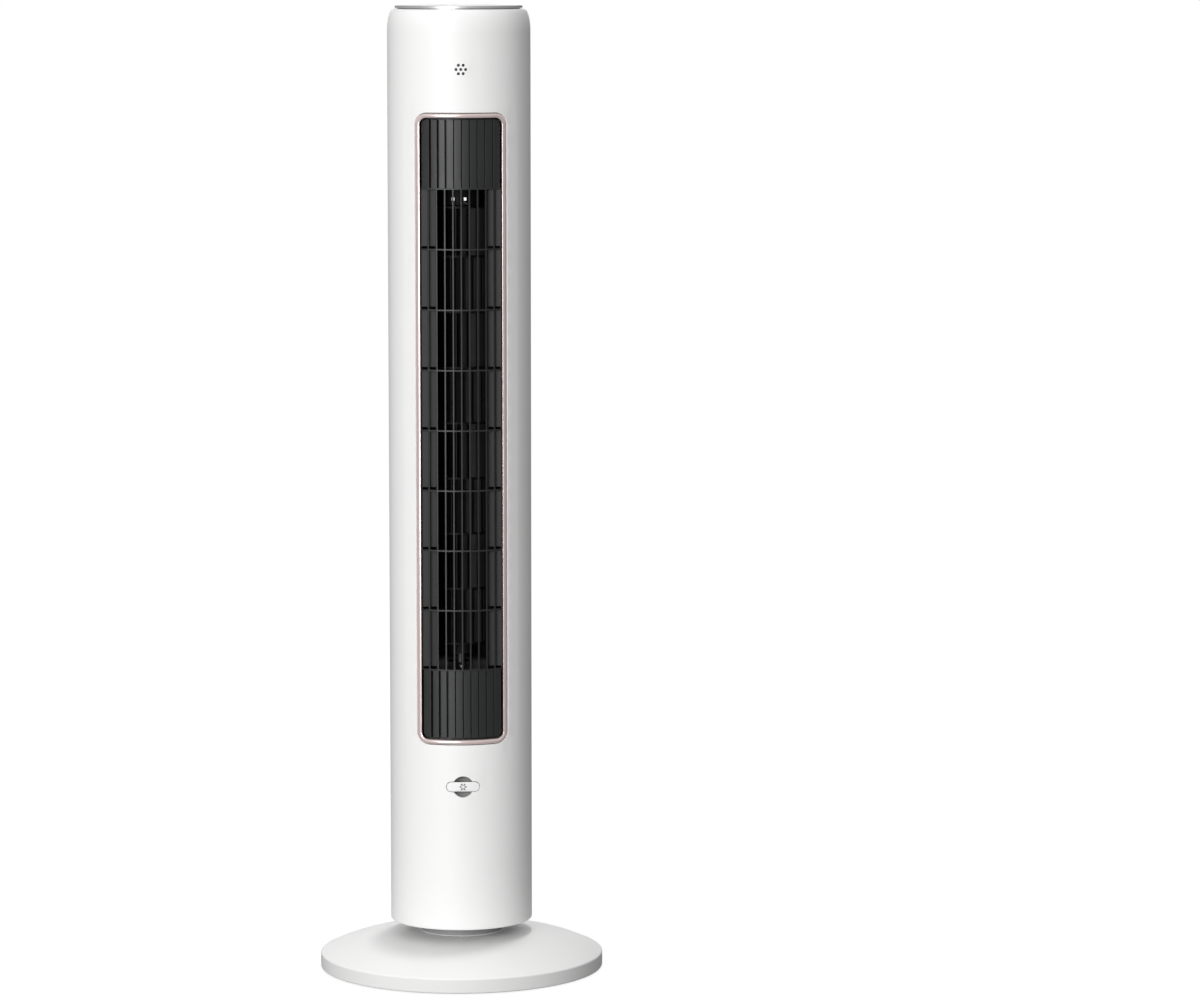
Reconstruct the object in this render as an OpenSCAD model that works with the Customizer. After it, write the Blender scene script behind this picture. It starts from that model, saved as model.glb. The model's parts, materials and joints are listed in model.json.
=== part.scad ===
// Oscillating tower fan: a round column with a cross-flow impeller, turning on a weighted disc base.
// Millimetres, +Z up, the air outlet faces -Y, the origin is on the floor under the column's axis.

/* [Overall] */
// Height from the floor to the top of the control panel
total_h = 1015; // [1010:1:1040]
// Diameter of the disc base
base_d = 298; // [292:1:320]
// Diameter of the column
column_d = 149; // [148.5:0.5:152]
// Height of the column's lower edge above the floor
column_z = 52.5; // [52.5:0.5:53]

/* [Air outlet] */
// Height of the trim frame's lower edge above the floor
window_z = 249; // [246:1:252]
// Width of the trim frame
window_w = 94; // [92:1:96]
// Height of the trim frame
window_h = 655; // [652:1:658]
// Visible width of the trim frame's strip
trim_w = 4.6; // [4:0.1:5]
// Number of rows of openings in the grille
row_count = 8; // [6:1:10]
// Height of all the rows together
rows_h = 500; // [490:1:504]
// Distance between two upright fins
fin_pitch = 8.5; // [8:0.1:8.6]
// Thickness of a fin or a crossbar
fin_t = 1.6; // [1.2:0.1:2]

/* [Impeller] */
// Diameter of the impeller
impeller_d = 84; // [80:1:85]
// Number of blades around the impeller
blade_count = 24; // [18:1:30]
// Distance between two discs of the impeller
disc_pitch = 57.9; // [56:0.1:58.5]

/* [Controls] */
// Diameter of the four small buttons
button_d = 14; // [12:0.5:15]
// Diameter of the power button
power_d = 17; // [15:0.5:17]
// Travel of a button
button_travel = 0.8; // [0.5:0.1:0.9]

/* [Scent tray] */
// Width of the tray's front
tray_w = 34.4; // [34:0.1:37]
// Height of the tray's front
tray_h = 10; // [10:0.1:11]
// Height of the tray's centre above the floor
tray_z = 204.6; // [200:0.1:208]
// Diameter of the finger dish behind the tray's front
dish_d = 22.2; // [21:0.1:24]

/* [Swing drive] */
// Teeth of the fixed gear
sun_teeth = 42; // [42:14:42]
// Teeth of the motor's pinion
pinion_teeth = 14; // [14:1:14]
// Gear module
gear_module = 1.5; // [1.5:0.1:1.5]

/* [Hidden] */
$fn = 96;

// Column shell: reach is half the side of a box that holds the whole column
column_r = column_d / 2;
wall = 2.8;
inner_r = column_r - wall;
split_y = 8;
rim_z = total_h - 5;
shoulder_h = 23;
shoulder_in = 6.5;
edge_r = 2;
lip_h = 1;
lip_r = 69;
clear = 0.2;
reach = 80;
white = "#f2f2f0";
dark = "#3a3b3d";
steel = "#b9bcc0";
board_green = "#2f6b46";

// Sound holes in front of the buzzer
sound_z = total_h - 66;
sound_hole_r = 1.3;
sound_ring_r = 5;
buzzer_r = 9.2;
buzzer_back_y = -64;

// Air intake slots and carrying handle at the back
intake_columns = 12;
intake_step = 9.5;
intake_w = 7.5;
intake_web = 9;
handle_w = 84;
handle_h = 30;
handle_depth = 25;
handle_z = total_h - 109;

// Grille
grille_w = window_w - 2 * trim_w;
grille_h = window_h - 2 * trim_w;
window_mid_z = window_z + window_h / 2;
trim_corner_r = 11.6;
grille_corner_r = trim_corner_r - trim_w;
rows_z = window_mid_z - rows_h / 2;
rows_top_z = rows_z + rows_h;
row_h = rows_h / row_count;
fins_each_side = 4;
grille_out_r = column_r - 3.2;
grille_in_r = column_r - 11;
blank_in_r = grille_out_r - 3;
bay_x = window_w / 2 + 1;
groove_w = 1.3;
groove_depth = 2;
strip_x = 3 * fin_pitch - fin_t / 2;
strip_y = [-57.5, -55.5];
strip_slit = 3;

// Impeller and its air path
axis_y = 8;
impeller_r = impeller_d / 2;
blade_in_r = impeller_r - 11;
blade_t = 1.1;
blade_turn = 16;
disc_t = 2;
segment_count = 8;
shaft_r = 4;
running_gap = 0.05;
top_disc_z = rows_top_z - 22;
first_disc_z = top_disc_z - 7 * disc_pitch - 50.8;
throat_x = 25.5;
throat_y = -34;
duct_t = 2;
plate_t = 3;
deck_z = rows_z - 1;
ledge_t = 4;
ledge_w = 4.2;
rib_r = 50;
rib_ends = [-12, 130];
rib_h = 19;

// Bearing at the top of the impeller
holder_r = 24;
holder_window_x = 6.3;
holder_window_w = 4;
holder_window_z = [top_disc_z + 2.8, top_disc_z + 10.5];
holder_screw_ring_r = 19;
holder_screws = [45, 225];
bush_z = rows_top_z - 8;
bush_h = 6;
bush_r = 7;
rubber_bush_r = 10.9;

// Top panel
panel_r = 60;
trim_ring_r = 66.4;
dome_h = 0.8;
seat_z = total_h - 13;
panel_under_z = total_h - 4.8;
board_z = total_h - 14;
board_t = 1.6;
button_ring_r = 37;
button_step = 33;
panel_posts = [30, 150, 270];
panel_post_ring_r = 50;
screen_w = 36;
screen_h = 15;
screen_y = 24;
screen_corner_r = 3;
flange_z = panel_under_z - 2.2;

// Scent tray
sleeve_y = -68.2;
bowl_depth = 5.5;
tray_back_y = -42;
tray_box_x = 14;
tray_box_z = 4;

// Base
base_r = base_d / 2;
base_edge_r = 2.2;
band_top_z = 15.4;
crown_r = base_r - base_edge_r;
crown_foot_z = 17.8;
crown_rise = 23.2;
base_wall = 3;
base_top_z = crown_foot_z + crown_rise;
cover_z = 4;
cover_t = 2.5;
foot_ring_r = base_r - 24;
screw_ring_r = base_r - 21;
base_fixings = 6;
gland_r = 4.4;
gland_z = 9;
nut_z = base_top_z - 13;

// Neck, turntable and swing gears
neck_r = 42.5;
neck_top_z = 58.2;
stub_r = 16;
stub_shoulder_z = 81;
stub_tip_r = 12;
cable_bore_r = 9;
hat_under_z = 63;
ball_z = (neck_top_z + hat_under_z) / 2;
ball_r = 2.7;
ball_ring_r = 33;
ball_count = 18;
sun_r = sun_teeth * gear_module / 2;
pinion_r = pinion_teeth * gear_module / 2;
gear_y = sun_r + pinion_r;
gear_w = 6;
pressure_angle = 20;
backlash = 0.2;
swing_motor_z = 92;
ear_x = 31;

// Motor
motor_r = 38;
motor_top_z = deck_z - plate_t - 6;
motor_ear_r = 44;
motor_ears = [0, 90, 180, 270];
motor_base_z = motor_top_z - 58;
lower_bush_z = motor_top_z - 55;
stack_z = motor_top_z - 38;
stack_h = 18;
stator_in_r = 24;

// Power board and wiring
power_board_x = 36;
power_board_y = [50.4, 52];
power_board_z = [120, 190];
power_board_screw_x = 28;
power_board_screw_levels = [130, 180];
loom_r = 2.4;
loom_at = [50, 36];
loom_turn_at = [38, 27];
loom_low_z = 166;
loom_high_z = total_h - 26;

// Housing screws
boss_x = 62;
boss_levels = [88, 228, 868, 968];
screw_seat_y = 20;
screw_head_r = 3.3;
screw_head_h = 2.4;
slot_w = 0.8;

// ---- shared shapes ----

module plate_outline(w, h, r) {
    square([w - 2 * r, h], center = true);
    square([w, h - 2 * r], center = true);
    for (x = [-1, 1], y = [-1, 1]) translate([x * (w / 2 - r), y * (h / 2 - r)]) circle(r);
}

// Pushes an outline drawn in X and Z forwards, from the axis to past the column's front
module to_front(z, y0 = 0, y1 = -100) {
    translate([0, y0, z]) rotate([90, 0, 0]) linear_extrude(y0 - y1) children();
}

module tube(r_out, r_in, z0, z1) {
    translate([0, 0, z0]) difference() {
        cylinder(r = r_out, h = z1 - z0);
        translate([0, 0, -1]) cylinder(r = r_in, h = z1 - z0 + 2);
    }
}

module post(x, y, z0, z1, r) {
    translate([x, y, z0]) cylinder(r = r, h = z1 - z0);
}

module rod(p, q, r) {
    d = q - p;
    len = norm(d);
    translate(p) rotate([0, acos(d.z / len), atan2(d.y, d.x)]) cylinder(r = r, h = len);
}

module box(x, y, z) {
    translate([x[0], y[0], z[0]]) cube([x[1] - x[0], y[1] - y[0], z[1] - z[0]]);
}

// A straight wall with round ends, seen from above
module web(p, q, t) {
    d = q - p;
    translate(p) rotate(atan2(d.y, d.x)) translate([0, -t / 2]) square([norm(d), t]);
    translate(p) circle(t / 2);
    translate(q) circle(t / 2);
}

// A piece of a ring between two angles, which are less than 180 degrees apart
module arc_wall(r, t, a0, a1) {
    far = 2 * r;
    mid = (a0 + a1) / 2;
    intersection() {
        difference() {
            circle(r + t);
            circle(r);
        }
        polygon([[0, 0], far * [cos(a0), sin(a0)], 1.5 * far * [cos(mid), sin(mid)],
                 far * [cos(a1), sin(a1)]]);
    }
}

// ---- column housings ----

// Quarter ellipse from the straight side up to the rim
function shoulder(inset) = [for (a = [0 : 10 : 90])
    [column_r - shoulder_in + shoulder_in * cos(a) - inset, rim_z - shoulder_h + shoulder_h * sin(a)]];

// Quarter circle at the lower edge
function lower_edge() = [for (a = [-90 : 15 : 0])
    [column_r - edge_r + edge_r * cos(a), column_z + edge_r + edge_r * sin(a)]];

module housing_solid() {
    rotate_extrude() polygon(concat([[0, column_z]], lower_edge(), shoulder(0), [[0, rim_z]]));
}

module housing_shell() {
    difference() {
        housing_solid();
        translate([0, 0, column_z - 1]) cylinder(r = lip_r, h = lip_h + 2);
        rotate_extrude() polygon(concat([[0, column_z + lip_h], [inner_r, column_z + lip_h]],
            shoulder(wall), [[0, rim_z]]));
        translate([0, 0, seat_z]) cylinder(r = trim_ring_r + clear, h = rim_z);
    }
}

// Ledges that carry the motor deck, the upper duct plate and the top panel
module ledges() {
    for (z = [deck_z - plate_t, rows_top_z])
        tube(inner_r + 1, inner_r - ledge_w, z - ledge_t, z);
    tube(inner_r - 0.5, panel_r - 4, seat_z - 3, seat_z);
}

module boss_pair(r, y0, y1) {
    for (x = [-boss_x, boss_x], z = boss_levels)
        translate([x, y1, z]) rotate([90, 0, 0]) cylinder(r = r, h = y1 - y0);
}

module scent_opening(gap) {
    plate_outline(tray_w + 2 * gap, tray_h + 2 * gap, tray_h / 2 + gap - 0.01);
}

module sound_holes() {
    circle(sound_hole_r);
    for (a = [0 : 60 : 300]) rotate(a) translate([sound_ring_r, 0]) circle(sound_hole_r);
}

// Room behind the grille in the front ledges
module wedge_clear(z) {
    box([-bay_x, bay_x], [-column_r + wall, 0], [z - ledge_t - 1, z]);
}

module front_housing() {
    color(white) difference() {
        union() {
            intersection() {
                union() {
                    housing_shell();
                    ledges();
                }
                box([-reach, reach], [-reach, split_y], [0, total_h]);
            }
            intersection() {
                union() {
                    boss_pair(4, -column_r, split_y);
                    to_front(sound_z, -66) circle(buzzer_r + 1.8);
                }
                housing_solid();
            }
        }
        to_front(window_mid_z) plate_outline(window_w + clear, window_h + clear, trim_corner_r);
        to_front(sound_z) sound_holes();
        to_front(sound_z, 0, -inner_r + 0.8) circle(buzzer_r + clear);
        to_front(tray_z) scent_opening(0.3);
        to_front(tray_z) circle(dish_d / 2);
        boss_pair(1.8, -10, split_y + 1);
        for (z = [deck_z - plate_t, rows_top_z]) wedge_clear(z);
    }
}

module intake_slots() {
    for (row = [0 : row_count - 1], i = [0 : intake_columns - 1])
        translate([0, 0, rows_z + row * row_h + intake_web / 2])
            rotate((i - (intake_columns - 1) / 2) * intake_step)
                box([-intake_w / 2, intake_w / 2], [inner_r - 10, column_r + 5], [0, row_h - intake_web]);
}

module handle_box(grow, y_out) {
    box([-handle_w / 2 - grow, handle_w / 2 + grow], [column_r - handle_depth - grow, y_out],
        [handle_z - grow, handle_z + handle_h + grow]);
}

module board_fixings(y0, y1, r) {
    for (x = [-power_board_screw_x, power_board_screw_x], z = power_board_screw_levels)
        translate([x, y1, z]) rotate([90, 0, 0]) cylinder(r = r, h = y1 - y0);
}

module rear_housing() {
    color(white) difference() {
        union() {
            intersection() {
                union() {
                    housing_shell();
                    ledges();
                }
                box([-reach, reach], [split_y, reach], [0, total_h]);
            }
            intersection() {
                union() {
                    boss_pair(4.6, split_y, column_r);
                    handle_box(wall, column_r);
                    board_fixings(power_board_y[1], column_r, 3.5);
                }
                housing_solid();
            }
        }
        intake_slots();
        handle_box(0, column_r + 5);
        boss_pair(2, split_y - 1, column_r);
        boss_pair(screw_head_r + 0.4, screw_seat_y, column_r + 5);
        board_fixings(power_board_y[1] - 2, power_board_y[1] + 8, 1.3);
    }
}

module housing_screws() {
    color(steel) for (x = [-boss_x, boss_x], z = boss_levels) translate([x, 0, z]) {
        translate([0, screw_seat_y, 0]) rotate([90, 0, 0]) cylinder(r = 1.7, h = 28);
        difference() {
            translate([0, screw_seat_y + screw_head_h, 0]) rotate([90, 0, 0])
                cylinder(r = screw_head_r, h = screw_head_h);
            for (a = [0, 90]) rotate([0, a, 0])
                box([-2, 2], [screw_seat_y + 1.2, screw_seat_y + 3], [-slot_w / 2, slot_w / 2]);
        }
    }
}

module column_base_plate() {
    hub_r = stub_r + running_gap;
    flange_under_z = column_z + lip_h;
    neck_room_r = neck_r + 1.1;
    color("#dcdcda") difference() {
        union() {
            tube(inner_r - clear, neck_room_r, flange_under_z, flange_under_z + plate_t);
            tube(neck_r + 4, neck_room_r, flange_under_z, hat_under_z + plate_t);
            tube(neck_r + 4, hub_r, hat_under_z, hat_under_z + plate_t);
            tube(stub_r + 4, hub_r, hat_under_z, stub_shoulder_z - 0.3);
            for (x = [-ear_x, ear_x])
                post(x, gear_y, flange_under_z + plate_t, swing_motor_z, 4);
        }
        for (x = [-ear_x, ear_x]) post(x, gear_y, swing_motor_z - 12, swing_motor_z + 1, 1.3);
        ball_groove();
    }
}

// ---- air outlet ----

module window_bezel() {
    color("#d9a99a") intersection() {
        to_front(window_mid_z, -50) difference() {
            plate_outline(window_w, window_h, trim_corner_r);
            plate_outline(grille_w, grille_h, grille_corner_r);
        }
        tube(column_r + 0.5, grille_in_r + 3, window_z - 1, window_z + window_h + 1);
    }
}

module grille_shell(r_in, z0, z1) {
    tube(grille_out_r, r_in, z0, z1);
}

module blank_panel(z0, z1) {
    difference() {
        intersection() {
            grille_shell(blank_in_r, z0, z1);
            box([-grille_w / 2 + 1, grille_w / 2 - 1], [-reach, 0], [z0, z1]);
        }
        for (i = [-fins_each_side : fins_each_side]) intersection() {
            box([i * fin_pitch - groove_w / 2, i * fin_pitch + groove_w / 2], [-reach, 0], [z0 - 1, z1 + 1]);
            tube(grille_out_r + 2, grille_out_r - groove_depth, z0 - 1, z1 + 1);
        }
    }
}

// Flat strips that close the outer bays from behind, each with a slit left above its crossbar
module side_strips() {
    for (side = [0, 1], row = [1 : row_count]) mirror([side, 0, 0])
        box([strip_x, grille_w / 2 - 1], strip_y,
            [rows_z + (row - 1) * row_h + strip_slit, rows_z + row * row_h]);
}

module front_grille() {
    z_low = window_mid_z - grille_h / 2 + clear / 2;
    z_high = window_mid_z + grille_h / 2 - clear / 2;
    color(dark) intersection() {
        union() {
            intersection() {
                to_front(window_mid_z, -30) difference() {
                    plate_outline(grille_w, grille_h, grille_corner_r);
                    plate_outline(grille_w - 3, grille_h - 3, grille_corner_r - 1.5);
                }
                grille_shell(grille_in_r, z_low, z_high);
            }
            blank_panel(z_low + 0.5, rows_z);
            blank_panel(rows_top_z, z_high - 0.5);
            side_strips();
            intersection() {
                grille_shell(grille_in_r, rows_z - fin_t / 2, rows_top_z + fin_t / 2);
                union() {
                    for (i = [-fins_each_side : fins_each_side])
                        box([i * fin_pitch - fin_t / 2, i * fin_pitch + fin_t / 2], [-reach, 0],
                            [rows_z - fin_t / 2, rows_top_z + fin_t / 2]);
                    for (row = [0 : row_count])
                        box([-grille_w / 2 + 1, grille_w / 2 - 1], [-reach, 0],
                            [rows_z + row * row_h - fin_t / 2, rows_z + row * row_h + fin_t / 2]);
                }
            }
        }
        to_front(window_mid_z) plate_outline(grille_w - clear, grille_h - clear, grille_corner_r);
    }
}

// ---- air path ----

module duct_walls(z0, z1) {
    translate([0, 0, z0]) linear_extrude(z1 - z0) children();
}

module duct_flank(side) {
    web([side * 41, -46.5], [side * (throat_x + duct_t / 2), throat_y], duct_t);
    web([side * (throat_x + duct_t / 2), throat_y], [side * 29.8, -26.8], duct_t);
}

module duct_scroll() {
    color("#55575a") duct_walls(deck_z, rows_top_z) {
        duct_flank(-1);
        translate([-2.5, axis_y + 1]) arc_wall(45.3, duct_t, 130, 234);
    }
}

module duct_tongue() {
    color("#55575a") duct_walls(deck_z, rows_top_z) {
        duct_flank(1);
        translate([0, axis_y]) arc_wall(impeller_r + 3, duct_t, -51, -12);
    }
}

// Disc that fills the column, cut away behind the grille
module deck_outline() {
    difference() {
        circle(inner_r - clear);
        intersection() {
            translate([-bay_x, -reach]) square([2 * bay_x, reach]);
            difference() {
                circle(reach);
                circle(grille_in_r - 0.3);
            }
        }
        translate(loom_at) circle(loom_r + 1.1);
    }
}

// Rib that closes the gap round the impeller's end on the intake side
module end_rib(z0) {
    translate([0, axis_y, z0]) linear_extrude(rib_h) arc_wall(rib_r, duct_t, rib_ends[0], rib_ends[1]);
}

module duct_top_plate() {
    color(dark) difference() {
        union() {
            translate([0, 0, rows_top_z]) linear_extrude(plate_t) deck_outline();
            difference() {
                end_rib(rows_top_z - rib_h);
                box([-holder_r / 2, holder_r / 2], [0, reach], [rows_top_z - rib_h - 1, rows_top_z]);
            }
        }
        post(0, axis_y, rows_top_z - 1, rows_top_z + plate_t + 1, 6);
        translate([0, axis_y, 0]) for (a = holder_screws) rotate(a)
            post(holder_screw_ring_r, 0, rows_top_z - 1, rows_top_z + plate_t + 1, 1.7);
    }
}

module motor_deck() {
    color(dark) difference() {
        union() {
            translate([0, 0, deck_z - plate_t]) linear_extrude(plate_t) deck_outline();
            end_rib(deck_z);
        }
        post(0, axis_y, deck_z - plate_t - 1, deck_z + 1, 14);
        translate([0, axis_y, 0]) for (a = motor_ears) rotate(a)
            post(motor_ear_r, 0, deck_z - plate_t - 1, deck_z + 1, 1.7);
    }
}

module bearing_holder() {
    color("#77797c") translate([0, axis_y, 0]) difference() {
        post(0, 0, top_disc_z + 2.5, rows_top_z, holder_r);
        post(0, 0, bush_z, rows_top_z + 1, rubber_bush_r + 0.1);
        post(0, 0, top_disc_z, bush_z + 1, shaft_r + 0.8);
        for (side = [0, 1]) mirror([side, 0, 0])
            box([holder_window_x - holder_window_w / 2, holder_window_x + holder_window_w / 2],
                [-holder_r - 1, holder_r + 1], holder_window_z);
        for (a = holder_screws) rotate(a) post(holder_screw_ring_r, 0, rows_top_z - 7, rows_top_z + 1, 1.3);
    }
}

module bearing_bush() {
    color("#202020") translate([0, axis_y, 0]) tube(rubber_bush_r, bush_r + 0.1, bush_z, bush_z + bush_h);
}

module bushing(z) {
    translate([0, axis_y, 0]) tube(bush_r, shaft_r + running_gap, z, z + bush_h);
}

module shaft_bushings() {
    color("#b58a4a") {
        bushing(bush_z);
        bushing(motor_top_z - bush_h - 1);
        bushing(lower_bush_z);
    }
}

// ---- impeller ----

// One curved blade, seen from above, with its root on the inner circle
function blade_side(offset) = [for (i = [0 : 4])
    let (t = i / 4, r = blade_in_r + (impeller_r - 0.5 - blade_in_r) * t, a = blade_turn * t * t)
    [r * cos(a) - offset * sin(a + 20 * (1 - t)), r * sin(a) + offset * cos(a + 20 * (1 - t))]];

function backwards(list) = [for (i = [len(list) - 1 : -1 : 0]) list[i]];

module blade() {
    polygon(concat(blade_side(-blade_t / 2), backwards(blade_side(blade_t / 2))));
}

function segment_z(k) = first_disc_z + k * disc_pitch;
function segment_top(k) = k == segment_count - 1 ? top_disc_z : segment_z(k + 1);

module impeller_segment(k) {
    hole = k == 0 ? 7 : 22;
    color("#2b2c2e") translate([0, axis_y, 0]) rotate(k * 180 / blade_count) {
        tube(impeller_r, hole, segment_z(k), segment_z(k) + disc_t);
        translate([0, 0, segment_z(k) + disc_t - 0.5])
            linear_extrude(segment_top(k) - segment_z(k) - disc_t + 0.5)
                for (i = [0 : blade_count - 1]) rotate(i * 360 / blade_count) blade();
    }
}

module impeller_top_disc() {
    color("#2b2c2e") translate([0, axis_y, 0]) {
        post(0, 0, top_disc_z, top_disc_z + disc_t, impeller_r);
        post(0, 0, top_disc_z, top_disc_z + 2.3, 9);
        post(0, 0, top_disc_z, rows_top_z - 1, shaft_r);
    }
}

module impeller_hub() {
    color("#1f1f20") translate([0, axis_y, 0]) difference() {
        union() {
            post(0, 0, first_disc_z - 14, first_disc_z, 11);
            post(0, 0, first_disc_z, first_disc_z + disc_t, 6.9);
        }
        post(0, 0, first_disc_z - 15, first_disc_z - 1, shaft_r + 0.02);
        translate([0, 0, first_disc_z - 8]) rotate([0, 90, 0]) cylinder(r = 1.6, h = 14);
    }
}

// ---- motor ----

module motor_vents(z0, z1) {
    for (a = [0 : 45 : 315]) rotate(a + 22.5) box([20, 30], [-3, 3], [z0, z1]);
}

module motor_upper_case() {
    color(steel) translate([0, axis_y, 0]) difference() {
        union() {
            post(0, 0, stack_z + stack_h, motor_top_z - 4, motor_r);
            post(0, 0, motor_top_z - 10, motor_top_z, 12);
            for (a = motor_ears) rotate(a)
                box([30, motor_ear_r + 5], [-5, 5], [motor_top_z - 6, motor_top_z - 4]);
        }
        post(0, 0, stack_z + stack_h - 1, motor_top_z - 6, motor_r - 2);
        post(0, 0, motor_top_z - bush_h - 1, motor_top_z - 1, bush_r + 0.1);
        post(0, 0, stack_z, motor_top_z + 1, shaft_r + 1);
        for (a = motor_ears) rotate(a) post(motor_ear_r, 0, motor_top_z - 7, motor_top_z, 2.6);
        motor_vents(motor_top_z - 8, motor_top_z);
    }
}

module motor_lower_case() {
    color(steel) translate([0, axis_y, 0]) difference() {
        union() {
            post(0, 0, motor_base_z + 4, stack_z, motor_r);
            post(0, 0, motor_base_z, motor_base_z + 12, 12);
        }
        post(0, 0, motor_base_z + 6, stack_z + 1, motor_r - 2);
        post(0, 0, lower_bush_z, lower_bush_z + bush_h, bush_r + 0.1);
        post(0, 0, motor_base_z + 1, stack_z, shaft_r + 1);
        motor_vents(motor_base_z, motor_base_z + 10);
    }
}

module motor_stator() {
    color("#8d6a45") translate([0, axis_y, 0]) {
        tube(motor_r, stator_in_r, stack_z, stack_z + stack_h);
        tube(motor_r - 4, stator_in_r + 1, stack_z - 8, stack_z);
        tube(motor_r - 4, stator_in_r + 1, stack_z + stack_h, stack_z + stack_h + 8);
    }
}

module motor_rotor() {
    color("#9fa3a8") translate([0, axis_y, 0]) {
        post(0, 0, stack_z - 2, stack_z + stack_h + 2, stator_in_r - 0.6);
        post(0, 0, motor_base_z + 2, first_disc_z - 1.2, shaft_r);
    }
}

module motor_grommets() {
    color("#242424") translate([0, axis_y, 0]) for (a = motor_ears) rotate(a)
        translate([motor_ear_r, 0, 0]) {
            tube(4.6, 1.8, motor_top_z - 4, deck_z - plate_t);
            tube(2.5, 1.8, motor_top_z - 6, motor_top_z - 4);
            tube(4.6, 1.8, motor_top_z - 8, motor_top_z - 6);
        }
}

// Screws of the motor, the bearing holder and the swing motor
module mechanism_screws() {
    color(steel) {
        translate([0, axis_y, 0]) {
            for (a = motor_ears) rotate(a) {
                post(motor_ear_r, 0, motor_top_z - 8, deck_z, 1.6);
                post(motor_ear_r, 0, deck_z, deck_z + 2, 3.2);
                post(motor_ear_r, 0, motor_top_z - 10.5, motor_top_z - 8, 3.2);
            }
            for (a = holder_screws) rotate(a) {
                post(holder_screw_ring_r, 0, rows_top_z - 6, rows_top_z + plate_t, 1.2);
                post(holder_screw_ring_r, 0, rows_top_z + plate_t, rows_top_z + plate_t + 2, 2.8);
            }
        }
        for (x = [-ear_x, ear_x]) {
            post(x, gear_y, swing_motor_z - 10, swing_motor_z + 1.5, 1.2);
            post(x, gear_y, swing_motor_z + 1.5, swing_motor_z + 3.5, 2.8);
        }
    }
}

module motor_capacitor() {
    color("#e4e4e0") {
        post(-50, 26, deck_z - 55, deck_z - plate_t - 3, 9);
        post(-50, 26, deck_z - plate_t - 3, deck_z - plate_t, 3);
    }
}

// The board with its transformer, suppressor, capacitors on their rail and plug strip
module power_board() {
    face_y = power_board_y[0];
    difference() {
        union() {
            color(board_green) box([-power_board_x, power_board_x], power_board_y, power_board_z);
            color("#d8b04a") box([-30, -6], [face_y - 18.4, face_y], [126, 148]);
            color("#2b6fb0") box([4, 20], [face_y - 16.4, face_y], [128, 144]);
            color("#26272a") for (x = [-24, -10, 4]) post(x, face_y - 8.4, 156, 172, 5.5);
            color("#26272a") box([-30, 12], [face_y - 9.4, face_y], [160, 168]);
            color("#f0f0ea") box([20, 34], [face_y - 8.4, face_y], [150, 182]);
        }
        board_fixings(30, 60, 1.6);
    }
}

// The cable from the power board up the column to the control board
module wiring_loom() {
    start = [35.4, 46, loom_low_z];
    low = [loom_at.x, loom_at.y, loom_low_z];
    high = [loom_at.x, loom_at.y, loom_high_z];
    turn = [loom_turn_at.x, loom_turn_at.y, loom_high_z];
    end = [loom_turn_at.x, loom_turn_at.y, board_z];
    color("#303236") {
        rod(start, low, loom_r);
        rod(low, high, loom_r);
        rod(high, turn, loom_r);
        rod(turn, end, loom_r);
        for (p = [low, high, turn]) translate(p) sphere(loom_r + 0.1);
    }
}

// ---- top panel ----

// Height of the slightly domed top at a distance from the axis
function dome_z(r) = total_h - dome_h * pow(r / panel_r, 2);

module dome_cap(r, z0) {
    rotate_extrude() polygon(concat([[0, z0], [r, z0]],
        [for (i = [6 : -1 : 0]) [r * i / 6, dome_z(r * i / 6)]]));
}

module top_trim_ring() {
    color("#b4b6b9") rotate_extrude() polygon([[panel_r + 0.15, seat_z], [trim_ring_r, seat_z],
        [trim_ring_r, total_h - 2], [trim_ring_r - 0.9, total_h - 1.1], [panel_r + 0.15, total_h - 0.9]]);
}

// Where each button stands: the power button is in the middle of the row
function button_at(i) = button_ring_r * [cos(-90 + i * button_step), sin(-90 + i * button_step)];
function button_size(i) = i == 0 ? power_d : button_d;

module control_panel() {
    color("#e9e9e7") difference() {
        union() {
            dome_cap(panel_r, panel_under_z);
            tube(panel_r, panel_r - 3, seat_z, panel_under_z + 1);
            for (a = panel_posts) rotate(a)
                post(panel_post_ring_r, 0, board_z + board_t, panel_under_z + 1, 3);
        }
        for (i = [-2 : 2]) translate(button_at(i))
            post(0, 0, panel_under_z - 1, total_h + 1, button_size(i) / 2 + 0.3);
        translate([0, screen_y, panel_under_z - 1]) linear_extrude(8)
            plate_outline(screen_w + clear, screen_h + clear, screen_corner_r);
    }
}

module display_window() {
    color("#1b1d20") intersection() {
        dome_cap(panel_r, panel_under_z);
        translate([0, screen_y, panel_under_z]) linear_extrude(8)
            plate_outline(screen_w, screen_h, screen_corner_r);
    }
}

module display_board() {
    color(board_green) tube(54, 5, board_z, board_z + board_t);
}

module display_led() {
    color("#26282b") difference() {
        box([-15, 15], [screen_y - 6, screen_y + 6], [board_z + board_t, panel_under_z - 0.2]);
        for (x = [-11.5 : 7.5 : 11])
            box([x, x + 4.5], [screen_y - 3.5, screen_y + 3.5], [panel_under_z - 0.7, panel_under_z]);
    }
}

module tact_switches() {
    color("#2a2b2d") for (i = [-2 : 2]) translate(button_at(i)) {
        box([-3, 3], [-3, 3], [board_z + board_t, board_z + board_t + 2.2]);
        post(0, 0, board_z + board_t + 2.2, board_z + board_t + 2.7, 1.7);
    }
}

module button(i) {
    r = button_size(i) / 2;
    color("#f4f4f2") translate(button_at(i)) {
        post(0, 0, flange_z, total_h - 0.1, r);
        post(0, 0, flange_z, flange_z + 1, r + 1);
        post(0, 0, board_z + board_t + 3.8, flange_z, 2.5);
    }
}

module buzzer() {
    color("#232426") difference() {
        to_front(sound_z, buzzer_back_y, -inner_r + 1.6) circle(buzzer_r);
        to_front(sound_z, buzzer_back_y - 4, -inner_r) circle(1.5);
    }
}

// ---- scent tray ----

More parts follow.
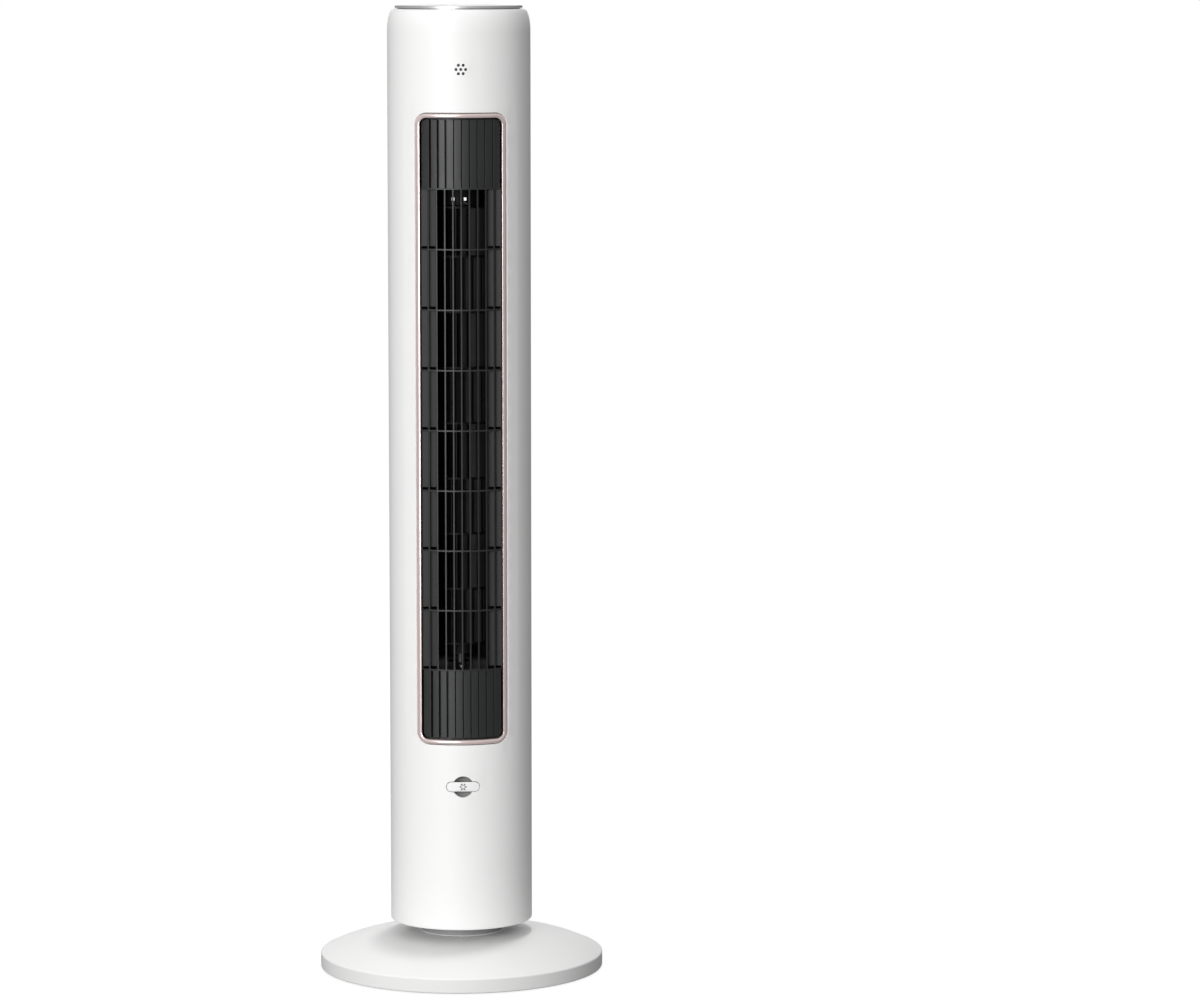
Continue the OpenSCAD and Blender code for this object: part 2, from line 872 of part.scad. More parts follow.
module scent_sleeve() {
    rim_r = dish_d / 2 - 0.3;
    bowl_r = (pow(rim_r, 2) + pow(bowl_depth, 2)) / (2 * bowl_depth);
    color("#a9abae") difference() {
        union() {
            translate([0, 0, tray_z]) box([-18, 18], [-66, tray_back_y + 2], [-7.5, 7.5]);
            intersection() {
                to_front(tray_z, -60) circle(dish_d / 2 + 2);
                cylinder(r = inner_r, h = total_h);
            }
        }
        translate([0, 0, tray_z]) box([-tray_box_x - 0.4, tray_box_x + 0.4], [-reach, tray_back_y + 0.5],
            [-tray_box_z - 0.4, tray_box_z + 0.4]);
        translate([0, sleeve_y + bowl_depth - bowl_r, tray_z]) sphere(bowl_r);
        to_front(tray_z, sleeve_y) circle(dish_d / 2);
        to_front(tray_z, sleeve_y) scent_opening(0.3);
    }
}

module scent_tray() {
    color(white) difference() {
        union() {
            intersection() {
                to_front(tray_z, -60) scent_opening(0);
                tube(column_r + 0.2, column_r - 4.2, tray_z - 20, tray_z + 20);
            }
            translate([0, 0, tray_z])
                box([-tray_box_x, tray_box_x], [-71.5, tray_back_y], [-tray_box_z, tray_box_z]);
        }
        translate([0, 0, tray_z])
            box([-tray_box_x + 1.8, tray_box_x - 1.8], [-67, tray_back_y - 1.8],
                [-tray_box_z + 1.5, tray_box_z + 1]);
    }
}

module scent_pad() {
    color("#efe9dc") translate([0, 0, tray_z])
        box([-tray_box_x + 2, tray_box_x - 2], [-66.8, tray_back_y - 2],
            [-tray_box_z + 1.5, tray_box_z - 0.5]);
}

// ---- base ----

// Height of the base's crown at a distance from the axis
function crown_z(r) = crown_foot_z + crown_rise * (1 - pow(r / crown_r, 3));
function crown(r_out, drop) = [for (i = [12 : -1 : 0]) [r_out * i / 12, crown_z(r_out * i / 12) - drop]];
function band_edge() = [for (a = [0 : 15 : 60])
    [crown_r + base_edge_r * cos(a), band_top_z + base_edge_r * sin(a)]];

module base_solid() {
    rotate_extrude() polygon(concat([[0, 1.5], [base_r - 1.2, 1.5], [base_r, 2.7]], band_edge(),
        crown(crown_r, 0)));
}

module fixing_ring(r, start) {
    for (i = [0 : base_fixings - 1]) rotate(start + i * 360 / base_fixings) translate([r, 0, 0]) children();
}

module base_shell() {
    color(white) difference() {
        union() {
            difference() {
                base_solid();
                rotate_extrude() polygon(concat([[0, 0], [base_r - base_wall, 0]],
                    crown(base_r - base_wall, base_wall + 0.2)));
            }
            post(0, 0, nut_z + 7, base_top_z, neck_r + 1.5);
            intersection() {
                fixing_ring(screw_ring_r, 30) post(0, 0, cover_z + cover_t, base_top_z, 4);
                base_solid();
            }
        }
        post(0, 0, 0, base_top_z + 1, 22.1);
        fixing_ring(screw_ring_r, 30) post(0, 0, cover_z, cover_z + 14, 1.6);
        translate([0, base_r - 8, gland_z]) rotate([-90, 0, 0]) cylinder(r = gland_r + 0.1, h = 12);
    }
}

module cord_gland() {
    color("#d5d5d3") intersection() {
        base_solid();
        translate([0, 0, gland_z]) rotate([-90, 0, 0]) difference() {
            translate([0, 0, base_r - 9]) cylinder(r = gland_r, h = 12);
            translate([0, 0, base_r - 10]) cylinder(r = gland_r - 1.5, h = 15);
        }
        box([-20, 20], [0, base_r + 5], [cover_z + cover_t, 30]);
    }
}

module base_bottom_cover() {
    color("#e6e6e4") difference() {
        post(0, 0, cover_z, cover_z + cover_t, base_r - base_wall - 0.3);
        fixing_ring(screw_ring_r, 30) post(0, 0, 0, cover_z + 5, 1.8);
    }
}

module base_weight() {
    color("#55585c") tube(110, 48, cover_z + cover_t, cover_z + cover_t + 7);
}

module rubber_feet() {
    color("#1c1c1d") fixing_ring(foot_ring_r, 0) {
        post(0, 0, 0.6, cover_z, 9);
        post(0, 0, 0, 0.6, 8.4);
    }
}

module base_screws() {
    color(steel) fixing_ring(screw_ring_r, 30) difference() {
        union() {
            post(0, 0, cover_z - 1.8, cover_z, 3.6);
            post(0, 0, cover_z, cover_z + 12, 1.5);
        }
        for (a = [0, 90]) rotate(a) box([-2.2, 2.2], [-0.4, 0.4], [cover_z - 2, cover_z - 0.9]);
    }
}

// ---- neck and swing drive ----

module ball_groove() {
    rotate_extrude() translate([ball_ring_r, ball_z]) circle(ball_r + 0.1);
}

module neck_post() {
    color("#e3e3e1") difference() {
        union() {
            post(0, 0, nut_z - 2, base_top_z, 22);
            post(0, 0, base_top_z, neck_top_z, neck_r);
            post(0, 0, neck_top_z, stub_shoulder_z, stub_r);
            post(0, 0, stub_shoulder_z, swing_motor_z - 0.5, stub_tip_r);
        }
        post(0, 0, 20, swing_motor_z + 1, cable_bore_r);
        ball_groove();
    }
}

module neck_clamp_nut() {
    color("#8f9296") difference() {
        post(0, 0, nut_z, nut_z + 7, 33);
        post(0, 0, nut_z - 1, base_top_z, 22.1);
        for (a = [0 : 45 : 315]) rotate(a) box([30, 36], [-3, 3], [nut_z - 1, base_top_z]);
    }
}

module turntable_balls() {
    color(steel) for (i = [0 : ball_count - 1]) rotate(i * 360 / ball_count)
        translate([ball_ring_r, 0, ball_z]) sphere(ball_r, $fn = 32);
}

// Involute flank of a gear: the half angle of the tooth at radius r
function inv(r, base) = let (a = acos(base / r)) tan(a) * 180 / PI - a;
function half_tooth(r, pitch, n) = let (base = pitch * cos(pressure_angle))
    90 / n - backlash / 2 / pitch * 180 / PI / 2 + inv(pitch, base) - inv(max(r, base), base);
function tooth_side(pitch, n, side) = let (root = pitch - 1.1 * gear_module, tip = pitch + 0.8 * gear_module)
    [for (i = [0 : 5]) let (r = root + (tip - root) * i / 5, a = side * half_tooth(r, pitch, n))
        [r * cos(a), r * sin(a)]];

module gear_outline(n) {
    pitch = n * gear_module / 2;
    circle(pitch - 1.1 * gear_module + 0.05);
    for (i = [0 : n - 1]) rotate(i * 360 / n)
        polygon(concat([[pitch / 2, 0]], tooth_side(pitch, n, -1), backwards(tooth_side(pitch, n, 1))));
}

module fixed_gear() {
    color("#efe6c8") translate([0, 0, stub_shoulder_z]) difference() {
        linear_extrude(gear_w) gear_outline(sun_teeth);
        translate([0, 0, -1]) cylinder(r = stub_tip_r + 0.05, h = gear_w + 2);
    }
}

module gear_retaining_ring() {
    color(steel) tube(15, stub_tip_r + 0.05, stub_shoulder_z + gear_w, stub_shoulder_z + gear_w + 2);
}

module drive_pinion() {
    color("#efe6c8") translate([0, gear_y, 0]) {
        translate([0, 0, stub_shoulder_z + 0.2]) rotate(180 / pinion_teeth)
            linear_extrude(gear_w + 1) gear_outline(pinion_teeth);
        post(0, 0, stub_shoulder_z + gear_w, swing_motor_z + 8, 2.5);
    }
}

module swing_motor() {
    color(steel) difference() {
        union() {
            post(0, gear_y, swing_motor_z, swing_motor_z + 18, 25);
            box([-ear_x - 4, ear_x + 4], [gear_y - 4, gear_y + 4], [swing_motor_z, swing_motor_z + 1.5]);
        }
        post(0, gear_y, swing_motor_z - 1, swing_motor_z + 10, 2.5 + running_gap);
        for (x = [-ear_x, ear_x]) post(x, gear_y, swing_motor_z - 1, swing_motor_z + 3, 1.6);
    }
}

base_shell();
base_bottom_cover();
base_weight();
rubber_feet();
base_screws();
neck_post();
neck_clamp_nut();
fixed_gear();
gear_retaining_ring();
turntable_balls();
cord_gland();
front_housing();
rear_housing();
window_bezel();
front_grille();
column_base_plate();
top_trim_ring();
control_panel();
display_window();
display_board();
display_led();
tact_switches();
buzzer();
duct_scroll();
duct_tongue();
duct_top_plate();
motor_deck();
bearing_holder();
bearing_bush();
shaft_bushings();
motor_upper_case();
motor_lower_case();
motor_stator();
motor_grommets();
mechanism_screws();
motor_capacitor();
power_board();
swing_motor();
housing_screws();
scent_sleeve();
wiring_loom();
impeller_segment(0);  // impeller_segment_1
impeller_segment(1);  // impeller_segment_2
impeller_segment(2);  // impeller_segment_3
impeller_segment(3);  // impeller_segment_4
impeller_segment(4);  // impeller_segment_5
impeller_segment(5);  // impeller_segment_6
impeller_segment(6);  // impeller_segment_7
impeller_segment(7);  // impeller_segment_8
impeller_top_disc();
impeller_hub();
motor_rotor();
drive_pinion();
button(0);  // button_power
button(1);  // button_speed
button(2);  // button_mode
button(-1);  // button_swing
button(-2);  // button_timer
scent_tray();
scent_pad();
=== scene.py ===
"""Tower fan: the moulded shells, trim, grille, controls and base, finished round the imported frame."""
import json
import math

import bmesh
import bpy
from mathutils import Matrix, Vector
from mathutils.geometry import delaunay_2d_cdt


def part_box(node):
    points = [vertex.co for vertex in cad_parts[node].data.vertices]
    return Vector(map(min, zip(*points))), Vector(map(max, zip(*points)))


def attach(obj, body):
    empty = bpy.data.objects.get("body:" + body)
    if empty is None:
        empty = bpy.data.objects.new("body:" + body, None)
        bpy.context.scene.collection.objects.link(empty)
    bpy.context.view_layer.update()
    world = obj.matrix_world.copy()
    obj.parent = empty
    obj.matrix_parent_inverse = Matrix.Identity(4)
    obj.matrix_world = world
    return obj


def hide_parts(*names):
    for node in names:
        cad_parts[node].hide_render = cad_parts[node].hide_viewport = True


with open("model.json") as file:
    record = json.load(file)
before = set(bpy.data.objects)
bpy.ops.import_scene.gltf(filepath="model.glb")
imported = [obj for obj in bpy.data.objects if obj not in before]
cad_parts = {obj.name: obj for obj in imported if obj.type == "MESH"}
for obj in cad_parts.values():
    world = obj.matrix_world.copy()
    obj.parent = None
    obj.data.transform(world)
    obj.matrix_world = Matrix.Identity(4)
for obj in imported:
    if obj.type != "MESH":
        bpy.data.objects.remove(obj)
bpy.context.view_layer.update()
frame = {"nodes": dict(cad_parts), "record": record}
MM = 0.001

# ---- sizes taken from the frame ----

front_lo, front_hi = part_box("front_housing")
bezel_lo, bezel_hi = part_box("window_bezel")
grille_lo, grille_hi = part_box("front_grille")
base_lo, base_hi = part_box("base_shell")
feet_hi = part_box("rubber_feet")[1]
neck_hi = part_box("neck_post")[1]
ring_lo, ring_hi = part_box("top_trim_ring")
panel_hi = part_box("control_panel")[1]
screen_lo, screen_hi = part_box("display_window")
tray_lo, tray_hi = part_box("scent_tray")
pad_lo, pad_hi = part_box("scent_pad")
screws_lo, screws_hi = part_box("housing_screws")
duct_lo, duct_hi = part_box("duct_scroll")

COLUMN_R = -front_lo.y
WALL = 2.8 * MM
SHELL_BOTTOM = front_lo.z
SHELL_TOP = front_hi.z
SPLIT_Y = front_hi.y
RING_R = ring_hi.x
RIM_R = RING_R + 0.3 * MM
SHOULDER_H = 23 * MM
SHOULDER_IN = 6.5 * MM
EDGE_R = 2 * MM
LIP_IN = 5.5 * MM
WINDOW_Z = (bezel_lo.z + bezel_hi.z) / 2
WINDOW_W = bezel_hi.x - bezel_lo.x
WINDOW_H = bezel_hi.z - bezel_lo.z
WINDOW_CORNER = 11.6 * MM
TRIM_W = 4.6 * MM
GRILLE_R = -grille_lo.y
ROWS = 8
ROWS_LOW = duct_lo.z + 1 * MM
ROWS_HIGH = duct_hi.z
ROW_H = (ROWS_HIGH - ROWS_LOW) / ROWS
FIN_PITCH = 8.5 * MM
FIN_T = 1.6 * MM
FINS_EACH_SIDE = 4
PANEL_R = panel_hi.x
PANEL_TOP = panel_hi.z
DOME_H = 0.8 * MM
SEAM_GAP = 0.15 * MM


# ---- outlines ----

def rounded(corners, steps=5):
    """A closed outline from (x, y, radius) corners, each rounded by an arc."""
    points = []
    for i, (x, y, r) in enumerate(corners):
        corner = Vector((x, y))
        before = Vector(corners[i - 1][:2])
        after = Vector(corners[(i + 1) % len(corners)][:2])
        if r <= 0:
            points.append(corner)
            continue
        u, v = (before - corner).normalized(), (after - corner).normalized()
        half = u.angle(v) / 2
        centre = corner + (u + v).normalized() * r / math.sin(half)
        start = corner + u * r / math.tan(half) - centre
        end = corner + v * r / math.tan(half) - centre
        a0 = math.atan2(start.y, start.x)
        turn = (math.atan2(end.y, end.x) - a0 + math.pi) % (2 * math.pi) - math.pi
        for k in range(steps + 1):
            a = a0 + turn * k / steps
            points.append(centre + Vector((math.cos(a), math.sin(a))) * r)
    return points


def rectangle(x, y, w, h, r, steps=6):
    """A rectangle with round corners about (x, y), anticlockwise."""
    return rounded([(x - w / 2, y - h / 2, r), (x + w / 2, y - h / 2, r),
                    (x + w / 2, y + h / 2, r), (x - w / 2, y + h / 2, r)], steps)


def circle(x, y, r, steps):
    turns = [2 * math.pi * k / steps for k in range(steps)]
    return [Vector((x + r * math.cos(a), y + r * math.sin(a))) for a in turns]


def subdivided(outline, longest):
    """The same outline with no side longer than `longest`."""
    points = []
    for i, p in enumerate(outline):
        q = outline[(i + 1) % len(outline)]
        parts = max(1, math.ceil((q - p).length / longest))
        points.extend(p.lerp(q, k / parts) for k in range(parts))
    return points


def outward(outline):
    """The unit normal of an anticlockwise outline at each of its points, pointing outwards."""
    normals = []
    for i, p in enumerate(outline):
        a = (p - outline[i - 1]).normalized()
        b = (outline[(i + 1) % len(outline)] - p).normalized()
        along = (a + b).normalized()
        normals.append(Vector((along.y, -along.x)))
    return normals


def offset(outline, distance):
    """The outline moved outwards, or inwards where the distance is negative."""
    return [p + n * distance for p, n in zip(outline, outward(outline))]


def contains(outline, p):
    """Whether the point is inside the outline."""
    inside = False
    for i, b in enumerate(outline):
        a = outline[i - 1]
        if (a.y > p.y) != (b.y > p.y) and p.x < a.x + (p.y - a.y) * (b.x - a.x) / (b.y - a.y):
            inside = not inside
    return inside


def steps_between(low, high, longest):
    """Even steps from low to high, none of them longer than `longest`."""
    count = max(1, math.ceil((high - low) / longest - 1e-9))
    return [low + (high - low) * k / count for k in range(count + 1)]


def quarter(steps):
    """The angles from 0 to a quarter turn."""
    return [math.pi / 2 * k / steps for k in range(steps + 1)]


def arc(x, y, r, a0, a1, steps=6, squeeze=1.0):
    """Points of an arc about (x, y) between two angles in degrees, its height times `squeeze`."""
    turns = [math.radians(a0 + (a1 - a0) * k / steps) for k in range(steps + 1)]
    return [Vector((x + r * math.cos(a), y + squeeze * r * math.sin(a))) for a in turns]


# ---- meshes ----

def finished(name, bm, material, body, nodes=(), sharp=35):
    """Makes the object, smooth where its faces meet at less than `sharp` degrees.

    It rides on the body. The material has the name of the record's slot that gives the piece its finish.
    """
    bmesh.ops.remove_doubles(bm, verts=bm.verts, dist=1e-7)
    bmesh.ops.recalc_face_normals(bm, faces=bm.faces)
    mesh = bpy.data.meshes.new(name)
    bm.to_mesh(mesh)
    bm.free()
    mesh.materials.append(MATERIALS[material])
    obj = bpy.data.objects.new(name, mesh)
    bpy.context.collection.objects.link(obj)
    smoothed(obj, sharp)
    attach(obj, body)
    if nodes:
        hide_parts(*nodes)
    return obj


def smoothed(obj, sharp):
    obj.data.shade_smooth()
    obj.data.set_sharp_from_angle(angle=math.radians(sharp))
    weights = obj.modifiers.new("weighted normals", "WEIGHTED_NORMAL")
    weights.keep_sharp = True


def stack(bm, rings, start_cap=True, end_cap=True):
    """Joins closed rings of equal length, one after the other, and closes the ends with flat faces."""
    rows = [[bm.verts.new(p) for p in ring] for ring in rings]
    for near, far in zip(rows, rows[1:]):
        for i in range(len(near)):
            j = (i + 1) % len(near)
            bm.faces.new((near[i], near[j], far[j], far[i]))
    if start_cap:
        bm.faces.new(rows[0])
    if end_cap:
        bm.faces.new(rows[-1])


def lathe(bm, outline, steps, x=0.0, y=0.0):
    """Turns a closed (radius, height) outline about an upright axis. Points on the axis make its ends."""
    columns = []
    on_axis = {j: bm.verts.new((x, y, p[1])) for j, p in enumerate(outline) if p[0] < 1e-9}
    for i in range(steps):
        a = 2 * math.pi * i / steps
        c, s = math.cos(a), math.sin(a)
        columns.append([on_axis.get(j) or bm.verts.new((x + p[0] * c, y + p[0] * s, p[1]))
                        for j, p in enumerate(outline)])
    for i, near in enumerate(columns):
        far = columns[(i + 1) % steps]
        for j in range(len(outline)):
            k = (j + 1) % len(outline)
            corners = list(dict.fromkeys((near[j], far[j], far[k], near[k])))
            if len(corners) > 2:
                bm.faces.new(corners)


def cut_plate(bm, outline, holes, grid, place, depth, edge=0.35 * MM, round_steps=3):
    """A sheet with holes, `depth` thick, whose front edges are rounded.

    place(u, v, d) gives the point of the sheet at (u, v), d below its front face. The grid's points
    between the edges are the sheet's inner ones.
    """
    loops, flat, constraints = [], [], []
    for n, loop in enumerate([outline, *holes]):
        away = outward(loop) if n == 0 else [-v for v in outward(loop)]
        first = len(flat)
        flat.extend(p - w * edge for p, w in zip(loop, away))
        constraints.extend((first + i, first + (i + 1) % len(loop)) for i in range(len(loop)))
        loops.append((first, loop, away))
    margin = 3 * edge
    room = offset(outline, -margin)
    boxes = [(min(p.x for p in h) - margin, max(p.x for p in h) + margin,
              min(p.y for p in h) - margin, max(p.y for p in h) + margin) for h in holes]
    for p in [Vector((u, v)) for u in grid[0] for v in grid[1]]:
        in_hole = any(a < p.x < b and c < p.y < d for a, b, c, d in boxes)
        if not in_hole and contains(room, p):
            flat.append(p)
    points, _, faces, origins, _, _ = delaunay_2d_cdt(flat, constraints, [], 0, 1e-7)
    into = {i: n for n, group in enumerate(origins) for i in group}
    loop_of, true_place = {}, {}
    for n, (first, loop, away) in enumerate(loops):
        for i, p in enumerate(loop):
            true_place[into[first + i]] = p
            loop_of[into[first + i]] = n
    front = [bm.verts.new(place(p.x, p.y, 0)) for p in points]
    back = [bm.verts.new(place(*true_place.get(n, p), depth)) for n, p in enumerate(points)]
    for face in faces:
        on = {loop_of.get(i) for i in face}
        if len(on) == 1 and None not in on:
            n = on.pop()
            middle = sum((points[i] for i in face), Vector((0, 0))) / len(face)
            if contains(offset(loops[n][1], -edge if n == 0 else edge), middle) != (n == 0):
                continue
        bm.faces.new([front[i] for i in face])
        bm.faces.new([back[i] for i in reversed(face)])
    for first, loop, away in loops:
        rings = [[front[into[first + i]] for i in range(len(loop))]]
        for a in quarter(round_steps)[1:]:
            inset, down = edge * (1 - math.sin(a)), edge * (1 - math.cos(a))
            rings.append([bm.verts.new(place(p.x - w.x * inset, p.y - w.y * inset, down))
                          for p, w in zip(loop, away)])
        rings.append([back[into[first + i]] for i in range(len(loop))])
        for near, far in zip(rings, rings[1:]):
            for i in range(len(loop)):
                j = (i + 1) % len(loop)
                bm.faces.new((near[i], near[j], far[j], far[i]))


def swept(bm, outline, section, place):
    """Carries a closed (outward, down) section round a closed outline."""
    away = outward(outline)
    rings = [[bm.verts.new(place(p.x + w.x * s[0], p.y + w.y * s[0], s[1])) for s in section]
             for p, w in zip(outline, away)]
    for near, far in zip(rings, rings[1:] + rings[:1]):
        for j in range(len(section)):
            k = (j + 1) % len(section)
            bm.faces.new((near[j], far[j], far[k], near[k]))


# ---- materials ----

MATERIALS = {}


def principled(name, color, roughness, metallic=0.0, specular=0.5, coat=0.0):
    """A new material, kept in MATERIALS under its name, and its shader."""
    mat = bpy.data.materials.new(name)
    MATERIALS[name] = mat
    mat.use_nodes = True
    shader = mat.node_tree.nodes["Principled BSDF"]
    shader.inputs["Base Color"].default_value = (*color, 1)
    shader.inputs["Roughness"].default_value = roughness
    shader.inputs["Metallic"].default_value = metallic
    shader.inputs["Specular IOR Level"].default_value = specular
    shader.inputs["Coat Weight"].default_value = coat
    return mat, shader


def noise_node(mat, scale, detail=3.0, stretch=(1, 1, 1)):
    """A noise texture laid on the object's own coordinates."""
    nodes, links = mat.node_tree.nodes, mat.node_tree.links
    coords = nodes.new("ShaderNodeTexCoord")
    mapping = nodes.new("ShaderNodeMapping")
    mapping.inputs["Scale"].default_value = [scale * s for s in stretch]
    noise = nodes.new("ShaderNodeTexNoise")
    noise.inputs["Scale"].default_value = 1
    noise.inputs["Detail"].default_value = detail
    links.new(coords.outputs["Object"], mapping.inputs["Vector"])
    links.new(mapping.outputs["Vector"], noise.inputs["Vector"])
    return noise


def vary_color(mat, shader, color, amount, scale):
    """Slight cloudiness of the colour, from `amount` darker to as given."""
    noise = noise_node(mat, scale)
    ramp = mat.node_tree.nodes.new("ShaderNodeValToRGB")
    ramp.color_ramp.elements[0].position = 0.35
    ramp.color_ramp.elements[1].position = 0.65
    ramp.color_ramp.elements[0].color = (*[c * (1 - amount) for c in color], 1)
    ramp.color_ramp.elements[1].color = (*color, 1)
    mat.node_tree.links.new(noise.outputs["Fac"], ramp.inputs["Fac"])
    mat.node_tree.links.new(ramp.outputs["Color"], shader.inputs["Base Color"])


def vary_roughness(mat, shader, low, high, scale, stretch=(1, 1, 1)):
    noise = noise_node(mat, scale, 4.0, stretch)
    spread = mat.node_tree.nodes.new("ShaderNodeMapRange")
    spread.inputs["To Min"].default_value = low
    spread.inputs["To Max"].default_value = high
    mat.node_tree.links.new(noise.outputs["Fac"], spread.inputs["Value"])
    mat.node_tree.links.new(spread.outputs["Result"], shader.inputs["Roughness"])


def texture_bump(mat, shader, scale, distance, strength=0.5, stretch=(1, 1, 1)):
    noise = noise_node(mat, scale, 2.0, stretch)
    bump = mat.node_tree.nodes.new("ShaderNodeBump")
    bump.inputs["Strength"].default_value = strength
    bump.inputs["Distance"].default_value = distance
    mat.node_tree.links.new(noise.outputs["Fac"], bump.inputs["Height"])
    mat.node_tree.links.new(bump.outputs["Normal"], shader.inputs["Normal"])


def plastic(name, color, rough, grain=1400, bump=0.02 * MM, cloud=0.03, specular=0.5, coat=0.0):
    """Moulded plastic: a faint cloudiness, a roughness that wanders and a fine grain."""
    mat, shader = principled(name, color, rough, specular=specular, coat=coat)
    vary_color(mat, shader, color, cloud, 14)
    vary_roughness(mat, shader, rough - 0.05, rough + 0.06, 45)
    texture_bump(mat, shader, grain, bump)


def metal(name, color, rough, stretch=(1, 1, 1)):
    """Metal, with a directional grain where stretch says so."""
    grain = 600
    mat, shader = principled(name, color, rough, metallic=1.0)
    vary_color(mat, shader, color, 0.06, 60)
    vary_roughness(mat, shader, rough - 0.06, rough + 0.08, grain, stretch)
    texture_bump(mat, shader, grain * 2, 0.01 * MM, 0.3, stretch)


def lacquer(name, color, rough, metallic):
    """Smooth metallic lacquer, whose gloss wanders slowly along the piece."""
    mat, shader = principled(name, color, rough, metallic=metallic, coat=0.3)
    vary_color(mat, shader, color, 0.03, 12)
    vary_roughness(mat, shader, rough - 0.02, rough + 0.03, 9)


plastic("white_shell", (0.87, 0.87, 0.865), 0.46, cloud=0.012, specular=0.4)
plastic("base_white", (0.79, 0.79, 0.785), 0.5, cloud=0.015, specular=0.3)
# The neck's grey is partly its own colour and partly painted shade: made darker to stand for the shadow
# under the column.
plastic("neck_plastic", (0.32, 0.32, 0.32), 0.5, cloud=0.03)
plastic("grille_plastic", (0.022, 0.023, 0.023), 0.42, cloud=0.1, specular=0.36)
lacquer("rose_trim", (0.87, 0.73, 0.71), 0.22, 0.5)
plastic("dish_plastic", (0.33, 0.33, 0.335), 0.45, grain=700, bump=0.05 * MM, cloud=0.3)
lacquer("silver_trim", (0.53, 0.54, 0.55), 0.38, 0.5)
plastic("panel", (0.80, 0.80, 0.795), 0.3)
plastic("button_plastic", (0.86, 0.86, 0.855), 0.36)
plastic("tinted_window", (0.012, 0.013, 0.015), 0.12, bump=0.002 * MM, coat=0.6)
plastic("circuit_board", (0.03, 0.20, 0.09), 0.4)
plastic("black_plastic", (0.02, 0.02, 0.021), 0.5)
# The duct and impeller blacks are black plastic made darker still: painted shade for the dark inside the
# throat.
plastic("duct_plastic", (0.012, 0.012, 0.012), 0.55, cloud=0.1, specular=0.2)
plastic("impeller_plastic", (0.004, 0.004, 0.0045), 0.5, cloud=0.15, specular=0.2)
metal("steel", (0.60, 0.61, 0.63), 0.3)
metal("motor_steel", (0.2, 0.205, 0.21), 0.6)
metal("winding", (0.55, 0.25, 0.10), 0.38, stretch=(1, 1, 12))
metal("bronze", (0.55, 0.36, 0.16), 0.42)
plastic("rubber", (0.018, 0.018, 0.018), 0.75, grain=900, bump=0.05 * MM, cloud=0.2)
plastic("cast_weight", (0.06, 0.062, 0.065), 0.7, grain=500, bump=0.15 * MM, cloud=0.3)
plastic("gear_nylon", (0.72, 0.68, 0.54), 0.45)
plastic("felt", (0.80, 0.76, 0.66), 0.95, grain=2200, bump=0.2 * MM, cloud=0.12)
plastic("cable", (0.03, 0.03, 0.033), 0.5)
plastic("capacitor_shell", (0.75, 0.75, 0.72), 0.3)
plastic("cover_plastic", (0.66, 0.66, 0.65), 0.55, bump=0.05 * MM)

for part in frame["record"]["subparts"]:
    node = frame["nodes"][part["node"]]
    node.data.materials.clear()
    node.data.materials.append(MATERIALS[part["material_slot"]])
    smoothed(node, sharp=30)


# ---- column shells ----

def column_profile():
    """The shells' outer line from under the lower edge to inside the rim: (radius, height) points."""
    points = [Vector((COLUMN_R - LIP_IN, SHELL_BOTTOM))]
    points += arc(COLUMN_R - EDGE_R, SHELL_BOTTOM + EDGE_R, EDGE_R, -90, 0)
    points += arc(COLUMN_R - SHOULDER_IN, SHELL_TOP - SHOULDER_H, SHOULDER_IN, 0, 90, 18,
                  squeeze=SHOULDER_H / SHOULDER_IN)
    points.append(Vector((RIM_R, SHELL_TOP)))
    return points


PROFILE = column_profile()
LENGTHS = [0.0]
for before, after in zip(PROFILE, PROFILE[1:]):
    LENGTHS.append(LENGTHS[-1] + (after - before).length)
SIDE_FOOT = PROFILE.index(next(p for p in PROFILE if p.x > COLUMN_R - 1e-6))
STRAIGHT_V = LENGTHS[SIDE_FOOT] - PROFILE[SIDE_FOOT].y


def on_column(u, v, depth):
    """A point of the column: u along its girth from the front's middle, v along its profile."""
    i = 0
    while i < len(LENGTHS) - 2 and v > LENGTHS[i + 1]:
        i += 1
    t = (v - LENGTHS[i]) / (LENGTHS[i + 1] - LENGTHS[i])
    p = PROFILE[i].lerp(PROFILE[i + 1], t)
    last = len(PROFILE) - 1
    ends = [(PROFILE[min(j + 1, last)] - PROFILE[max(j - 1, 0)]).normalized() for j in (i, i + 1)]
    along = ends[0].lerp(ends[1], t).normalized()
    r, z = p.x - along.y * depth, p.y + along.x * depth
    return Vector((r * math.sin(u / COLUMN_R), -r * math.cos(u / COLUMN_R), z))


def on_column_back(u, v, depth):
    p = on_column(u, v, depth)
    return Vector((-p.x, -p.y, p.z))


def unrolled(outline, z_mid=0.0):
    """An outline seen straight from the front or back, laid on the column's unrolled surface."""
    return [Vector((COLUMN_R * math.asin(p.x / COLUMN_R), p.y + z_mid + STRAIGHT_V)) for p in outline]


def shell_outline(half, us, vs):
    """The unrolled edge of one shell, anticlockwise, with a point at each step."""
    return ([Vector((u, vs[0])) for u in us] + [Vector((half, v)) for v in vs[1:]]
            + [Vector((u, vs[-1])) for u in us[-2::-1]] + [Vector((-half, v)) for v in vs[-2:0:-1]])


SIDE_VS = steps_between(LENGTHS[SIDE_FOOT], LENGTHS[SIDE_FOOT + 1], 25 * MM)
SHELL_VS = LENGTHS[:SIDE_FOOT + 1] + SIDE_VS[1:-1] + LENGTHS[SIDE_FOOT + 1:]
SHELL_STEP = 3.3 * MM


def shell(name, half, holes, place, node, extra=None):
    """One half of the column's shell: a sheet wrapped round the column, with its openings."""
    bm = bmesh.new()
    us = steps_between(-half, half, SHELL_STEP)
    cut_plate(bm, shell_outline(half, us, SHELL_VS), holes, (us, SHELL_VS), place, WALL)
    if extra:
        extra(bm)
    return finished(name, bm, "white_shell", "column", [node])


